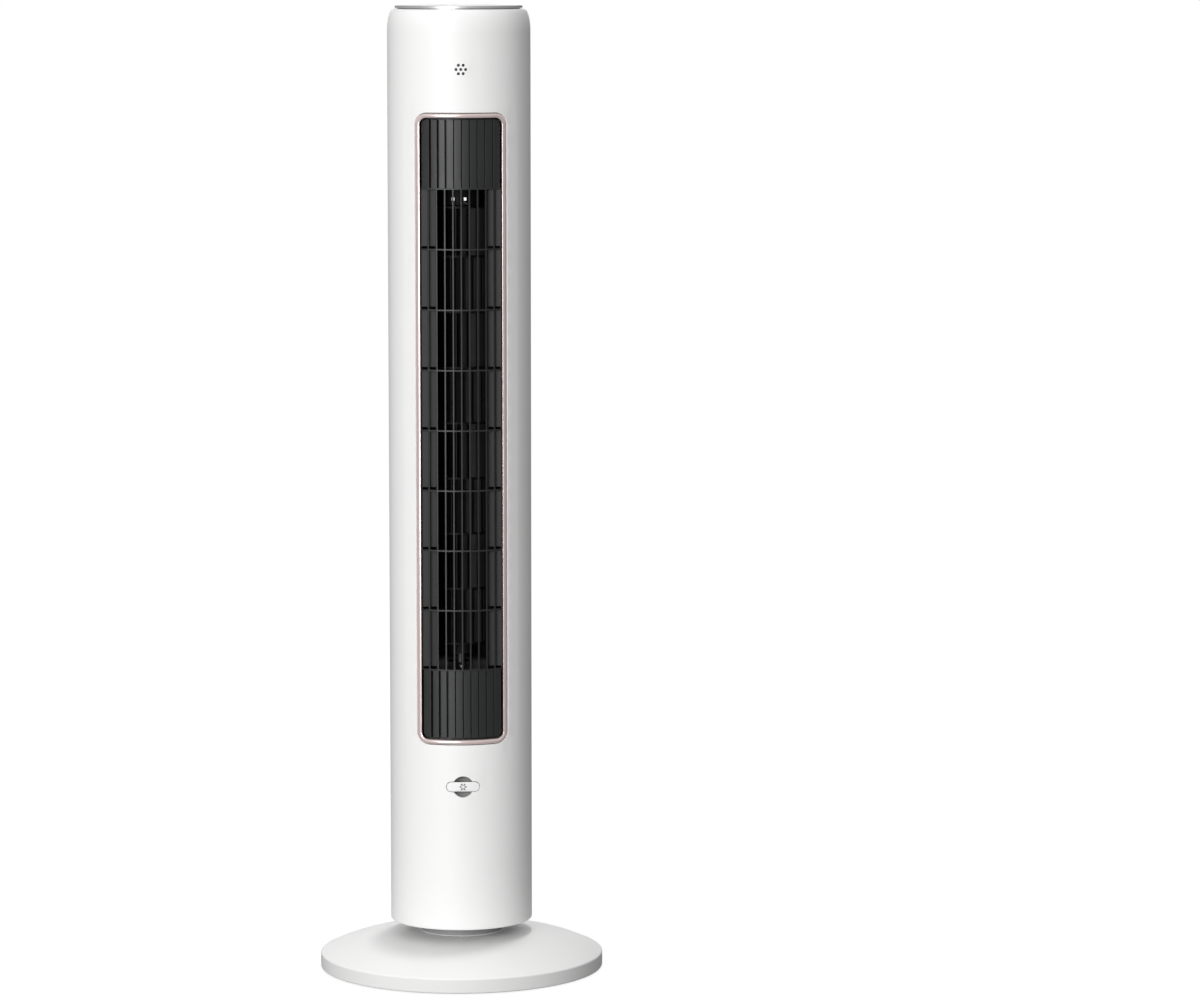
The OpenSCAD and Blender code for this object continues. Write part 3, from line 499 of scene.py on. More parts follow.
SEAM_TURN = math.asin(SPLIT_Y / COLUMN_R)
TRAY_Z = (tray_lo.z + tray_hi.z) / 2
TRAY_W = 2 * tray_hi.x
TRAY_H = tray_hi.z - tray_lo.z
DISH_R = 11.1 * MM
SOUND_Z = PANEL_TOP - 66 * MM
SOUND_RING = 5 * MM
SOUND_R = 1.5 * MM
WINDOW_GAP = 0.7 * MM
TRAY_GAP = 0.55 * MM


def tray_opening(gap):
    """The tray's round-ended opening joined with the finger dish's circle, anticlockwise."""
    half_h = TRAY_H / 2 + gap
    end_x = TRAY_W / 2 + gap - half_h
    a0 = math.degrees(math.asin(half_h / DISH_R))
    right = arc(end_x, 0, half_h, -90, 90, 14) + arc(0, 0, DISH_R, a0, 180 - a0, 14)
    return right + [-p for p in right]


def sound_spots(r):
    """The outlines of the sound holes, laid on the column: one in the middle and six round it."""
    spots = [Vector((0, 0))] + circle(0, 0, SOUND_RING, 6)
    return [unrolled(circle(p.x, p.y, r, 18), SOUND_Z) for p in spots]


def front_openings():
    window = rectangle(0, 0, WINDOW_W + 2 * WINDOW_GAP, WINDOW_H + 2 * WINDOW_GAP,
                       WINDOW_CORNER + WINDOW_GAP, 10)
    return [unrolled(subdivided(window, 6 * MM), WINDOW_Z), unrolled(tray_opening(TRAY_GAP), TRAY_Z),
            *sound_spots(SOUND_R)]


def make_sound_hole_shade():
    """Black gauze discs set a little below the surface in the sound holes: painted shade, a black fill that
    stands for the shadow inside the holes.
    """
    play = 0.02 * MM
    levels = [(0.6, 1.6 * MM), (0.95, 1.7 * MM), (1.0, 1.8 * MM), (1.0, 2.6 * MM)]
    bm = bmesh.new()
    for outline in sound_spots(SOUND_R - play):
        middle = sum(outline, Vector((0, 0))) / len(outline)
        stack(bm, [[on_column(*middle.lerp(p, size), depth) for p in outline] for size, depth in levels])
    finished("sound_hole_shade", bm, "black_plastic", "column")


shell("front_shell", COLUMN_R * (math.pi / 2 + SEAM_TURN) - SEAM_GAP, front_openings(), on_column,
      "front_housing")
make_sound_hole_shade()

# Intake slots, handle pocket and screw recesses at the back
SLOT_COLUMNS = 12
SLOT_STEP = math.radians(9.5)
SLOT_W = 7.5 * MM
SLOT_WEB = 9 * MM
HANDLE_W = 84 * MM
HANDLE_H = 30 * MM
HANDLE_Z = PANEL_TOP - 94 * MM
HANDLE_FLOOR_Y = COLUMN_R - 25 * MM
BOSS_X = (screws_lo.x + screws_hi.x) / 2 + 62 * MM
BOSS_LEVELS = [88 * MM, 228 * MM, 868 * MM, 968 * MM]
BOSS_FLOOR_Y = 20 * MM
RECESS_R = 3.7 * MM


def slot_outline(u, v, w, h):
    """A slot with round ends about (u, v)."""
    rise = (h - w) / 2
    return arc(u, v + rise, w / 2, 0, 180, 8) + arc(u, v - rise, w / 2, 180, 360, 8)


def rear_recesses():
    """(outline seen from behind, floor's y, wall, radius at the floor) of each blind recess."""
    handle = subdivided(rectangle(0, HANDLE_Z, HANDLE_W, HANDLE_H, 5 * MM, 6), 4 * MM)
    found = [(handle, HANDLE_FLOOR_Y, 2 * MM, 4 * MM)]
    for x in (-BOSS_X, BOSS_X):
        for z in BOSS_LEVELS:
            found.append((circle(x, z, RECESS_R, 28), BOSS_FLOOR_Y, 0.9 * MM, 0.4 * MM))
    return found


def rear_openings():
    slots = []
    for i in range(SLOT_COLUMNS):
        u = COLUMN_R * SLOT_STEP * (i - (SLOT_COLUMNS - 1) / 2)
        for row in range(ROWS):
            v = ROWS_LOW + ROW_H * (row + 0.5) + STRAIGHT_V
            slots.append(slot_outline(u, v, SLOT_W, ROW_H - SLOT_WEB))
    return slots + [unrolled(outline) for outline, _, _, _ in rear_recesses()]


def surface_y(p):
    return math.sqrt(COLUMN_R ** 2 - p.x ** 2)


def recess_walls(bm):
    """The floor and walls of each recess, the floor's edge rounded."""
    for outline, floor_y, wall, round_r in rear_recesses():
        rings = []
        for a in quarter(5):
            inset = offset(outline, -round_r * (1 - math.sin(a)))
            rings.append([(p.x, floor_y + round_r * (1 - math.cos(a)), p.y) for p in inset])
        outer = offset(outline, wall)
        rings.append([(p.x, surface_y(p) - WALL / 2, p.y) for p in outline])
        rings.append([(p.x, surface_y(p) - WALL / 2, p.y) for p in outer])
        rings.append([(p.x, floor_y - wall, p.y) for p in outer])
        stack(bm, rings)


shell("rear_shell", COLUMN_R * (math.pi / 2 - SEAM_TURN) - SEAM_GAP, rear_openings(), on_column_back,
      "rear_housing", recess_walls)


# ---- window trim and grille ----

def behind_front(x, z, d):
    """A point of the column's front seen at (x, z), d behind the surface, or proud of it if negative."""
    y = -math.sqrt(COLUMN_R ** 2 - x * x)
    if d >= 0:
        return Vector((x, y + d, z))
    grown = 1 - d / COLUMN_R
    return Vector((x * grown, y * grown, z))


def make_trim():
    """The frame round the window: a round bead with a skirt behind its inner part."""
    crest = 0.5 * MM
    sink = 0.8 * MM
    flange = 2.5 * MM
    skirt_in = 1.2 * MM
    deep = 7 * MM
    half = TRIM_W / 2
    bead_half = half - 0.05 * MM
    turns = [math.pi * k / 14 for k in range(15)]
    bead = [(-half - bead_half * math.cos(a), sink - (sink + crest) * math.sin(a)) for a in turns]
    section = [(-TRIM_W, deep), *bead, (0, flange), (-skirt_in, flange), (-skirt_in, deep)]
    outline = subdivided(rectangle(0, WINDOW_Z, WINDOW_W, WINDOW_H, WINDOW_CORNER, 14), 6 * MM)
    bm = bmesh.new()
    swept(bm, outline, section, behind_front)
    finished("window_trim", bm, "rose_trim", "column", ["window_bezel"])


make_trim()

GRILLE_CORNER = WINDOW_CORNER - TRIM_W
GRILLE_DEPTH = 7.5 * MM
GRILLE_HALF = (grille_hi.x - grille_lo.x) / 2
GRILLE_H = grille_hi.z - grille_lo.z
GRILLE_Z = (grille_lo.z + grille_hi.z) / 2
BLANK_T = 6 * MM
FRAME_W = 1.5 * MM
BORDER_W = 1.8 * MM
BORDER_DEPTH = 4.8 * MM
FLUTE_PITCH = 8.1 * MM
FLUTE_SHIFT = 0.5 * MM
GROOVE_WIDE = 2.2 * MM
GROOVE_FINE = 0.8 * MM
GROOVE_DEPTH = 5 * MM
BACKING_T = 0.8 * MM
LAND_SINK = 0.15 * MM
STRIP_X = 3 * FIN_PITCH - FIN_T / 2
STRIP_Y = -57.5 * MM
STRIP_T = 2 * MM
STRIP_SLIT = 3 * MM


def on_grille(x, z, d):
    """A point of the grille's frame and fins. The frame is set back round the blank ends."""
    in_rows = ROWS_LOW - FIN_T < z < ROWS_HIGH + FIN_T
    at_back = d > 1 * MM
    y = -math.sqrt(GRILLE_R ** 2 - x * x)
    if at_back:
        return Vector((x, y + (d if in_rows else BLANK_T), z))
    return Vector((x, y + d + (0 if in_rows else BORDER_DEPTH), z))


def blank_outline(inset, left, right, low_end, grow=0.0):
    """The outline of one blank end, or of the part of it from left to right, anticlockwise."""
    limit = GRILLE_HALF - inset
    corner = GRILLE_CORNER - inset
    soft = 0.3 * MM
    round_left = corner if left < -limit + soft else soft
    round_right = corner if right > limit - soft else soft
    left, right = max(left, -limit), min(right, limit)
    if low_end:
        z0, z1 = grille_lo.z + inset, ROWS_LOW - FIN_T / 2 + grow
        corners = [(left, z0, round_left), (right, z0, round_right), (right, z1, soft), (left, z1, soft)]
    else:
        z0, z1 = ROWS_HIGH + FIN_T / 2 - grow, grille_hi.z - inset
        corners = [(left, z0, soft), (right, z0, soft), (right, z1, round_right), (left, z1, round_left)]
    return rounded(corners, 8)


def add_blank_ends(bm):
    """The closed ends of the grille: upright lands between grooves, wide at the left, on a backing."""

    def on_land(x, z, d):
        inward = 1 - (LAND_SINK + d) / GRILLE_R
        return Vector((x * inward, -math.sqrt(GRILLE_R ** 2 - x * x) * inward, z))

    def on_backing(x, z, d):
        return on_land(x, z, GROOVE_DEPTH + d)

    edges = [FLUTE_SHIFT + FLUTE_PITCH * i for i in range(-FINS_EACH_SIDE, FINS_EACH_SIDE + 1)]
    halves = [(GROOVE_WIDE if x < -FLUTE_PITCH else GROOVE_FINE) / 2 for x in edges]
    lefts = [-GRILLE_HALF] + [x + half for x, half in zip(edges, halves)]
    rights = [x - half for x, half in zip(edges, halves)] + [GRILLE_HALF]
    for low_end in (True, False):
        whole = blank_outline(0.7 * MM, -GRILLE_HALF, GRILLE_HALF, low_end, grow=0.4 * MM)
        whole = subdivided(whole, 6 * MM)
        bottom, top = min(p.y for p in whole), max(p.y for p in whole)
        xs, zs = steps_between(-GRILLE_HALF, GRILLE_HALF, 3 * MM), steps_between(bottom, top, 12 * MM)
        cut_plate(bm, whole, [], (xs, zs), on_backing, BACKING_T, edge=0.1 * MM, round_steps=1)
        for left, right in zip(lefts, rights):
            land = subdivided(blank_outline(BORDER_W, left, right, low_end, grow=0.3 * MM), 12 * MM)
            middles = [left + (right - left) * t for t in (0.3, 0.5, 0.7)]
            cut_plate(bm, land, [], (middles, zs), on_land, GROOVE_DEPTH + 0.2 * MM, edge=0.25 * MM)


def add_strips(bm):
    """The flat strips that close the outer bays from behind, each with a slit above its crossbar."""
    soft = 0.4 * MM
    layers = [(-soft, 0), (-0.3 * soft, 0.3 * soft), (0, soft), (0, STRIP_T)]
    far_x = GRILLE_HALF - FRAME_W / 2
    for side in (-1, 1):
        x = side * (STRIP_X + far_x) / 2
        for row in range(ROWS):
            low, high = ROWS_LOW + ROW_H * row + STRIP_SLIT, ROWS_LOW + ROW_H * (row + 1)
            face = rectangle(x, (low + high) / 2, far_x - STRIP_X, high - low, soft, 3)
            stack(bm, [[(p.x, STRIP_Y + back, p.y) for p in offset(face, grow)] for grow, back in layers])


def make_grille():
    """The frame with its fins and crossbars, the blank ends and the strips, in one piece."""
    outline = subdivided(rectangle(0, GRILLE_Z, 2 * GRILLE_HALF, GRILLE_H, GRILLE_CORNER, 8), 4 * MM)
    posts = [-GRILLE_HALF + FRAME_W - FIN_T / 2]
    posts += [FIN_PITCH * i for i in range(-FINS_EACH_SIDE, FINS_EACH_SIDE + 1)]
    posts += [GRILLE_HALF - FRAME_W + FIN_T / 2]
    openings = [blank_outline(1 * MM, -GRILLE_HALF, GRILLE_HALF, low_end) for low_end in (True, False)]
    for left, right in zip(posts, posts[1:]):
        for row in range(ROWS):
            openings.append(rectangle((left + right) / 2, ROWS_LOW + ROW_H * (row + 0.5),
                                      right - left - FIN_T, ROW_H - FIN_T, 0.5 * MM, 3))
    openings = [subdivided(opening, 8 * MM) for opening in openings]
    bm = bmesh.new()
    cut_plate(bm, outline, openings, ([], []), on_grille, GRILLE_DEPTH, edge=0.3 * MM)
    add_blank_ends(bm)
    add_strips(bm)
    finished("outlet_grille", bm, "grille_plastic", "column", ["front_grille"])


make_grille()


def make_rib_seal():
    """The foam strip along the lower edge of the duct's upper rib, just clear of the impeller."""
    impeller_y = 8 * MM
    near_r, far_r = 49.4 * MM, 51.6 * MM
    start, end = -12, 130
    bottom, height = ROWS_HIGH - 21.6 * MM, 3 * MM
    band = arc(0, impeller_y, far_r, start, end, 40) + arc(0, impeller_y, near_r, end, start, 40)
    bm = bmesh.new()
    stack(bm, [[(p.x, p.y, z) for p in band] for z in (bottom, bottom + height)])
    finished("rib_seal", bm, "black_plastic", "column")


make_rib_seal()


# ---- top: trim ring, panel, display and buttons ----

BUTTON_NODES = ["button_power", "button_speed", "button_mode", "button_swing", "button_timer"]
PANEL_T = 3.2 * MM
FLANGE_OUT = 1 * MM
DISH = 0.35 * MM


def dome_z(r):
    """The height of the panel's slightly domed face at a radius."""
    return PANEL_TOP - DOME_H * (r / PANEL_R) ** 2


def on_dome(x, y, d):
    return Vector((x, y, dome_z(math.hypot(x, y)) - d))


def button_place(name):
    """A button's centre and the radius of its cap, inside its flange."""
    lo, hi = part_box(name)
    return (lo.x + hi.x) / 2, (lo.y + hi.y) / 2, (hi.x - lo.x) / 2 - FLANGE_OUT


def make_ring():
    """The ring round the panel, with a shadow gap where it leaves the shells."""
    in_r = PANEL_R + 0.15 * MM
    top = ring_hi.z
    corner, lip, gap, recess = 0.8 * MM, 0.4 * MM, 1.1 * MM, 3 * MM
    soft = 0.2 * MM
    outline = [(in_r, ring_lo.z), (RING_R - recess, ring_lo.z), (RING_R - recess, SHELL_TOP + gap)]
    outline += arc(RING_R - soft, SHELL_TOP + gap + soft, soft, -90, 0, 3)
    outline += arc(RING_R - corner, top - soft - corner, corner, 0, 80)
    outline += arc(in_r + lip, top - lip, lip, 90, 180, 4)
    bm = bmesh.new()
    lathe(bm, outline, 192)
    finished("cap_ring", bm, "silver_trim", "column", ["top_trim_ring"])


def screen_outline(gap):
    """The display's outline, grown by the gap."""
    middle = (screen_lo + screen_hi) / 2
    size = screen_hi - screen_lo
    return subdivided(rectangle(middle.x, middle.y, size.x + 2 * gap, size.y + 2 * gap, 3 * MM, 8), 4 * MM)


def make_panel():
    edge_gap, button_gap, screen_gap = 0.1 * MM, 0.3 * MM, 0.15 * MM
    holes = []
    for name in BUTTON_NODES:
        x, y, r = button_place(name)
        holes.append(circle(x, y, r + button_gap, 48))
    holes.append(screen_outline(screen_gap))
    rim = circle(0, 0, PANEL_R - edge_gap, 144)
    grid = steps_between(-PANEL_R, PANEL_R, 4 * MM)
    bm = bmesh.new()
    cut_plate(bm, rim, holes, (grid, grid), on_dome, PANEL_T, edge=0.3 * MM)
    finished("top_panel", bm, "panel", "column", ["control_panel"])


def make_screen():
    bm = bmesh.new()
    middle = (screen_lo + screen_hi) / 2
    us = steps_between(screen_lo.x, screen_hi.x, 4 * MM)
    vs = [middle.y - 4 * MM, middle.y, middle.y + 4 * MM]
    cut_plate(bm, screen_outline(0), [], (us, vs), on_dome, PANEL_T, edge=0.4 * MM)
    finished("display_glass", bm, "tinted_window", "column", ["display_window"])


def make_button(name):
    """A cap with a slightly dished top, its flange and the pin that reaches the switch."""
    x, y, r = button_place(name)
    lo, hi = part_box(name)
    pin_r = 2.5 * MM
    flange_r = r + FLANGE_OUT
    flange_z, flange_t = panel_hi.z - 7 * MM, 1 * MM
    corner = 0.7 * MM
    outline = [(0, lo.z), (pin_r, lo.z), (pin_r, flange_z), (flange_r, flange_z),
               (flange_r, flange_z + flange_t), (r, flange_z + flange_t)]
    outline += arc(r - corner, hi.z - corner, corner, 0, 90)
    outline += [(r * t, hi.z - DISH * (1 - t * t)) for t in (0.8, 0.6, 0.4, 0.2, 0.0)]
    bm = bmesh.new()
    lathe(bm, outline, 64, x, y)
    finished(name + "_cap", bm, "button_plastic", name, [name])


def stroke(bm, points, width, place, thick=0.06 * MM, closed=False):
    """A thin raised line through the points, on the surface that place(x, y) gives."""
    count = len(points)
    sides = []
    for i, p in enumerate(points):
        before = points[i - 1] if closed or i > 0 else p
        after = points[(i + 1) % count] if closed or i < count - 1 else p
        along = (after - before).normalized()
        across = Vector((-along.y, along.x)) * width / 2
        ring = []
        for q in (p + across, p - across):
            low = place(q)
            ring += [low, low + Vector((0, 0, thick))]
        sides.append([bm.verts.new(v) for v in (ring[0], ring[1], ring[3], ring[2])])
    pairs = list(zip(sides, sides[1:])) + ([(sides[-1], sides[0])] if closed else [])
    for near, far in pairs:
        for j in range(4):
            k = (j + 1) % 4
            bm.faces.new((near[j], far[j], far[k], near[k]))
    if not closed:
        bm.faces.new(sides[0])
        bm.faces.new(sides[-1])


def symbol_lines(name, s):
    """The lines of a button's symbol, s being its half size: (points, closed) pairs."""
    if name == "button_power":
        return [(arc(0, 0, s, 120, 420, 24), False), ([Vector((0, 0.25 * s)), Vector((0, 1.15 * s))], False)]
    if name == "button_speed":
        blades = []
        for k in range(3):
            a = 90 + 120 * k
            turn = math.radians(a)
            x, y = 0.55 * s * math.cos(turn), 0.55 * s * math.sin(turn)
            blades.append((arc(x, y, 0.5 * s, a - 180, a + 60, 12), False))
        return blades
    if name == "button_mode":
        dashes = [(arc(0, 0, s, 90 * k + 12, 90 * k + 78, 8), False) for k in range(4)]
        return dashes + [(arc(0, 0, 0.35 * s, 0, 345, 16), True)]
    if name == "button_swing":
        bow = arc(0, 0.9 * s, 1.4 * s, 225, 315, 12)
        heads = [[p + Vector((side * 0.05 * s, 0.55 * s)), p, p + Vector((-side * 0.5 * s, 0.02 * s))]
                 for p, side in ((bow[0], -1), (bow[-1], 1))]
        return [(bow, False)] + [(head, False) for head in heads]
    hands = [Vector((0, 0.6 * s)), Vector((0, 0)), Vector((0.45 * s, 0))]
    return [(arc(0, 0, s, 0, 350, 28), True), (hands, False)]


def make_symbol(name):
    """A button's raised symbol, on its dished top."""
    x, y, r = button_place(name)
    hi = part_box(name)[1]
    root = 0.01 * MM
    bm = bmesh.new()

    def on_cap(p):
        t = p.length / r
        return Vector((x + p.x, y + p.y, hi.z - DISH * (1 - t * t) - root))

    for points, closed in symbol_lines(name, 0.4 * r):
        stroke(bm, points, 0.5 * MM, on_cap, closed=closed)
    finished(name + "_symbol", bm, "black_plastic", name)


make_ring()
make_panel()
make_screen()
for name in BUTTON_NODES:
    make_button(name)
    make_symbol(name)


# ---- scent tray ----

FRONT_T = 1.3 * MM
FRONT_PROUD = 0.2 * MM


def rosette():
    """The outlines of the six petal-shaped vents, laid on the column."""
    tip_x, tip_r = 2.85 * MM, 0.95 * MM
    root_x, root_r = 1.65 * MM, 0.48 * MM
    petal = arc(tip_x, 0, tip_r, -90, 90, 5) + arc(root_x, 0, root_r, 90, 270, 5)
    vents = []
    for k in range(6):
        a = math.radians(60 * k)
        along = Vector((math.cos(a), math.sin(a)))
        across = Vector((-along.y, along.x))
        vents.append(unrolled([along * p.x + across * p.y for p in petal], TRAY_Z))
    return vents


def make_tray():
    """The drawer: a front that follows the column, with a rosette of vents, and an open box behind it."""
    half_h = TRAY_H / 2
    end_x = TRAY_W / 2 - half_h
    front = arc(end_x, 0, half_h, -90, 90, 16) + arc(-end_x, 0, half_h, 90, 270, 16)

    def place(u, v, d):
        return on_column(u, v, d - FRONT_PROUD)

    us = steps_between(-TRAY_W / 2, TRAY_W / 2, 3 * MM)
    vs = [TRAY_Z + STRAIGHT_V + k * 1.9 * MM for k in (-2, -1, 0, 1, 2)]
    bm = bmesh.new()
    cut_plate(bm, unrolled(front, TRAY_Z), rosette(), (us, vs), place, FRONT_T,
              edge=0.3 * MM, round_steps=4)
    box_x, box_z, wall, bottom = 14 * MM, 4 * MM, 1.8 * MM, 1.5 * MM
    near_y, far_y = -72.4 * MM, tray_hi.y
    outer = rectangle(0, (near_y + far_y) / 2, 2 * box_x, far_y - near_y, 1 * MM, 4)
    inner = rectangle(0, (near_y + far_y) / 2, 2 * (box_x - wall), far_y - near_y - 2 * wall, 0.8 * MM, 4)
    out, lip = 0.4 * MM, 0.3 * MM
    levels = [(offset(outer, -out), -box_z), (outer, out - box_z), (outer, box_z - out),
              (offset(outer, -out), box_z), (offset(inner, lip), box_z), (inner, box_z - lip),
              (inner, bottom - box_z)]
    stack(bm, [[(p.x, p.y, TRAY_Z + z) for p in loop] for loop, z in levels])
    finished("scent_drawer", bm, "white_shell", "tray", ["scent_tray"])


def make_vent_shade_disc():
    """The grey gauze disc behind the vents of the drawer's front: painted shade, a grey fill that darkens
    the vents in place of the shadow inside them.
    """
    r, thick = 4.6 * MM, 0.5 * MM
    outline = unrolled(circle(0, 0, r, 32), TRAY_Z)
    bm = bmesh.new()
    stack(bm, [[on_column(p.x, p.y, depth) for p in outline] for depth in (FRONT_T, FRONT_T + thick)])
    finished("vent_shade_disc", bm, "dish_plastic", "tray")


def make_pad():
    """The felt block in the drawer, its edges soft and its top uneven."""
    middle = (pad_lo + pad_hi) / 2
    size = pad_hi - pad_lo
    soft, swell, ripple = 1.2 * MM, 0.15 * MM, 0.12 * MM
    outline = subdivided(rectangle(middle.x, middle.y, size.x, size.y, 2.5 * MM, 5), 1.2 * MM)
    levels = [(soft * (1 - math.sin(a)), pad_lo.z + soft * (1 - math.cos(a))) for a in quarter(5)]
    levels += [(inset, pad_lo.z + pad_hi.z - z) for inset, z in reversed(levels)]
    levels += [(soft + size.y * t, pad_hi.z + swell * t) for t in (0.12, 0.25, 0.37)]
    wave = [ripple * math.sin(900 * p.x) * math.cos(1100 * p.y) for p in outline]
    bm = bmesh.new()
    rings = []
    for inset, z in levels:
        loop = [middle.xy + (p - middle.xy) * (1 - 2 * inset / size.y) for p in outline]
        rings.append([(p.x, p.y, z + w * (z > middle.z)) for p, w in zip(loop, wave)])
    stack(bm, rings)
    pad = finished("scent_felt", bm, "felt", "tray", ["scent_pad"], 60)


make_tray()
make_vent_shade_disc()
make_pad()


# ---- base ----

BASE_R = base_hi.x
BASE_TOP = base_hi.z
BASE_BOTTOM = base_lo.z
BASE_T = 3 * MM
BASE_SHARP = 25
BASE_EDGE = 2.2 * MM
CROWN_R = BASE_R - BASE_EDGE
CROWN_FOOT = 17.8 * MM
CROWN_RISE = BASE_TOP - CROWN_FOOT
BAND_TOP = 15.4 * MM
SEAT_R = neck_hi.x + 1.5 * MM
BORE_R = 22.1 * MM
GLAND_Z = 9 * MM
GLAND_R = 4.5 * MM
FOOT_R = 9 * MM


def crown_z(r):
    """The height of the base's top at a radius."""
    return CROWN_FOOT + CROWN_RISE * (1 - (r / CROWN_R) ** 3)


def make_base():
    """The base: a seat for the neck, a low crown, a rounded shoulder and an upright band."""
    seat_edge = 0.4 * MM
    foot_round = 1.5 * MM
    seat_under = BASE_TOP - 6 * MM
    seat_in_r = SEAT_R - 8 * MM
    crown_t = BASE_T + 0.2 * MM
    crown_rs = steps_between(SEAT_R + 0.3 * MM, CROWN_R, 6 * MM)
    outline = [(BORE_R, seat_under), (BORE_R, BASE_TOP)]
    outline += arc(SEAT_R - seat_edge, BASE_TOP - seat_edge, seat_edge, 90, 0, 4)
    outline += [(r, crown_z(r)) for r in crown_rs]
    outline += arc(CROWN_R, BAND_TOP, BASE_EDGE, 60, 0, 8)
    outline += arc(BASE_R - foot_round, BASE_BOTTOM + foot_round, foot_round, 0, -90, 6)
    outline += [(BASE_R - BASE_T, BASE_BOTTOM)]
    outline += [(r, crown_z(r) - crown_t) for r in steps_between(seat_in_r, BASE_R - BASE_T, 8 * MM)[::-1]]
    outline.append((seat_in_r, seat_under))
    bm = bmesh.new()
    lathe(bm, outline, 240)
    base = finished("base_body", bm, "base_white", "base", ["base_shell"], BASE_SHARP)
    drill(base, (0, BASE_R - 4 * MM, GLAND_Z), GLAND_R, 12 * MM)
    smoothed(base, BASE_SHARP)


def drill(obj, centre, radius, length):
    """Bores a hole along Y through the piece, which loses its modifiers."""
    bm = bmesh.new()
    ends = [centre[1] - length / 2, centre[1] + length / 2]
    stack(bm, [[(p.x, y, p.y) for p in circle(centre[0], centre[2], radius, 40)] for y in ends])
    bmesh.ops.recalc_face_normals(bm, faces=bm.faces)
    mesh = bpy.data.meshes.new("drill")
    bm.to_mesh(mesh)
    bm.free()
    cutter = bpy.data.objects.new("drill", mesh)
    bpy.context.collection.objects.link(cutter)
    cut = obj.modifiers.new("bore", "BOOLEAN")
    cut.operation = "DIFFERENCE"
    cut.solver = "EXACT"
    cut.object = cutter
    shown = obj.evaluated_get(bpy.context.evaluated_depsgraph_get())
    bored = bpy.data.meshes.new_from_object(shown)
    obj.modifiers.clear()
    obj.data = bored
    bpy.data.objects.remove(cutter)


def make_feet():
    """Round rubber feet with a soft edge and a shallow recess in the sole."""
    ring = feet_hi.x - FOOT_R
    recess, soft = 0.5 * MM, 1.3 * MM
    outline = [(0, feet_hi.z), (0, recess), (FOOT_R - 3.2 * MM, recess), (FOOT_R - 2.8 * MM, 0)]
    outline += arc(FOOT_R - soft, soft, soft, -90, 0, 5)
    outline.append((FOOT_R, feet_hi.z))
    bm = bmesh.new()
    for k in range(6):
        a = math.radians(60 * k)
        lathe(bm, outline, 48, ring * math.cos(a), ring * math.sin(a))
    finished("soft_feet", bm, "rubber", "base", ["rubber_feet"])


make_base()
make_feet()


# ---- camera, floor and light ----

# Angles in degrees, distances in metres, the lens in millimetres
CAMERA_AZIMUTH = -1.583
CAMERA_DISTANCE = 5.045
CAMERA_HEIGHT = 1.0745
CAMERA_PAN = -1.666
CAMERA_TILT = 6.534
CAMERA_LENS = 145.07
SENSOR_W = 36
FLOOR_TONE = 0.16
FLOOR_GLOW = 0.88


def make_camera():
    cam = bpy.data.objects.new("camera", bpy.data.cameras.new("camera"))
    bpy.context.collection.objects.link(cam)
    a = math.radians(CAMERA_AZIMUTH)
    heading = a + math.radians(CAMERA_PAN)
    tilt = math.radians(CAMERA_TILT)
    cam.location = (CAMERA_DISTANCE * math.sin(a), -CAMERA_DISTANCE * math.cos(a), CAMERA_HEIGHT)
    level = math.cos(tilt)
    look = Vector((-math.sin(heading) * level, math.cos(heading) * level, -math.sin(tilt)))
    cam.rotation_euler = look.to_track_quat("-Z", "Y").to_euler()
    cam.data.lens = CAMERA_LENS
    cam.data.sensor_width = SENSOR_W
    cam.data.clip_start, cam.data.clip_end = 0.1, 500
    bpy.context.scene.camera = cam


def add_sun(name, azimuth, elevation, strength, spread):
    """A soft sun that shines from that azimuth, 0 being in front of the fan and 90 to its right."""
    light = bpy.data.objects.new(name, bpy.data.lights.new(name, "SUN"))
    bpy.context.collection.objects.link(light)
    a, e = math.radians(azimuth), math.radians(elevation)
    source = Vector((math.sin(a) * math.cos(e), -math.cos(a) * math.cos(e), math.sin(e)))
    light.rotation_euler = source.to_track_quat("Z", "Y").to_euler()
    light.data.energy = strength
    light.data.angle = math.radians(spread)


def add_softbox(name, azimuth, distance, height, size, power):
    """A square softbox, aimed at the middle of the fan and not seen by the camera."""
    light = bpy.data.objects.new(name, bpy.data.lights.new(name, "AREA"))
    bpy.context.collection.objects.link(light)
    a = math.radians(azimuth)
    light.location = (distance * math.sin(a), -distance * math.cos(a), height)
    target = Vector((0, 0, PANEL_TOP / 2))
    light.rotation_euler = (light.location - target).to_track_quat("Z", "Y").to_euler()
    light.data.shape = "SQUARE"
    light.data.size = size
    light.data.energy = power
    light.visible_camera = False


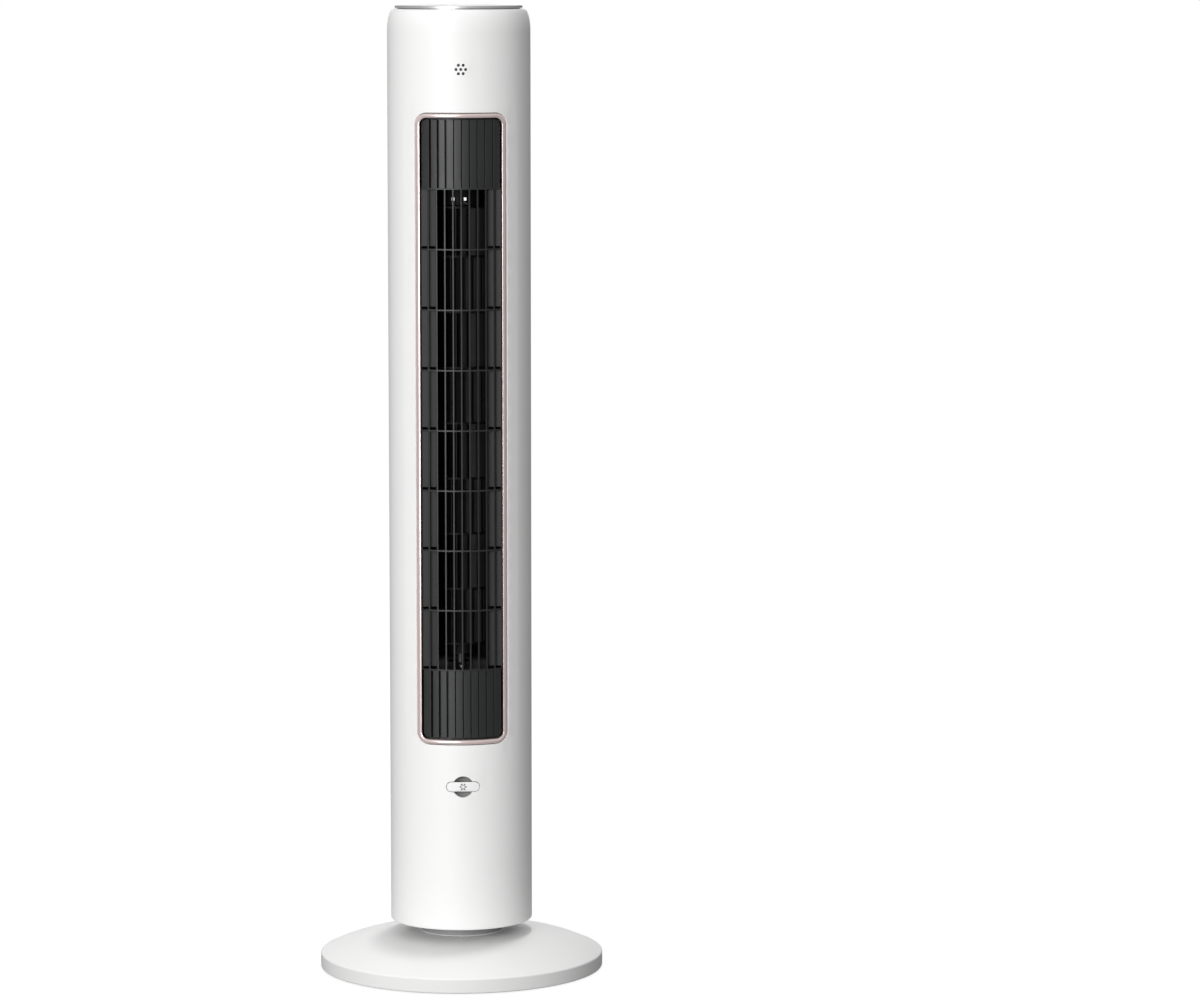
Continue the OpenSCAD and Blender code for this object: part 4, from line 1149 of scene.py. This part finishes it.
def make_world(seen, fill):
    """A white backdrop, seen by the camera at one strength and lighting the scene at another."""
    world = bpy.data.worlds.new("studio")
    bpy.context.scene.world = world
    world.use_nodes = True
    nodes, links = world.node_tree.nodes, world.node_tree.links
    nodes.clear()
    out = nodes.new("ShaderNodeOutputWorld")
    mix = nodes.new("ShaderNodeMixShader")
    path = nodes.new("ShaderNodeLightPath")
    dim, bright = nodes.new("ShaderNodeBackground"), nodes.new("ShaderNodeBackground")
    dim.inputs["Color"].default_value = (1, 1, 1, 1)
    dim.inputs["Strength"].default_value = fill
    bright.inputs["Color"].default_value = (1, 1, 1, 1)
    bright.inputs["Strength"].default_value = seen
    links.new(path.outputs["Is Camera Ray"], mix.inputs["Fac"])
    links.new(dim.outputs["Background"], mix.inputs[1])
    links.new(bright.outputs["Background"], mix.inputs[2])
    links.new(mix.outputs["Shader"], out.inputs["Surface"])


def make_floor(size):
    """A pale floor that the camera sees glow and that throws little light back."""
    mesh = bpy.data.meshes.new("floor")
    s = size / 2
    mesh.from_pydata([(-s, -s, 0), (s, -s, 0), (s, s, 0), (-s, s, 0)], [], [(0, 1, 2, 3)])
    floor = bpy.data.objects.new("floor", mesh)
    bpy.context.collection.objects.link(floor)
    mat = bpy.data.materials.new("pale_floor")
    mat.use_nodes = True
    nodes, links = mat.node_tree.nodes, mat.node_tree.links
    shader = nodes["Principled BSDF"]
    shader.inputs["Base Color"].default_value = (FLOOR_TONE, FLOOR_TONE, FLOOR_TONE, 1)
    shader.inputs["Roughness"].default_value = 0.9
    shader.inputs["Specular IOR Level"].default_value = 0.0
    shader.inputs["Emission Color"].default_value = (1, 1, 1, 1)
    path = nodes.new("ShaderNodeLightPath")
    glow = nodes.new("ShaderNodeMath")
    glow.operation = "MULTIPLY"
    glow.inputs[1].default_value = FLOOR_GLOW
    links.new(path.outputs["Is Camera Ray"], glow.inputs[0])
    links.new(glow.outputs["Value"], shader.inputs["Emission Strength"])
    mesh.materials.append(mat)


make_camera()
make_world(seen=1.0, fill=0.46)
make_floor(size=400)
add_softbox("key", azimuth=-23, distance=4.1, height=0.95, size=2.2, power=148)
add_sun("top", azimuth=150, elevation=87.7, strength=0.9, spread=1.5)
add_sun("back", azimuth=180, elevation=12, strength=0.4, spread=40)
bpy.context.scene.view_settings.view_transform = "Standard"
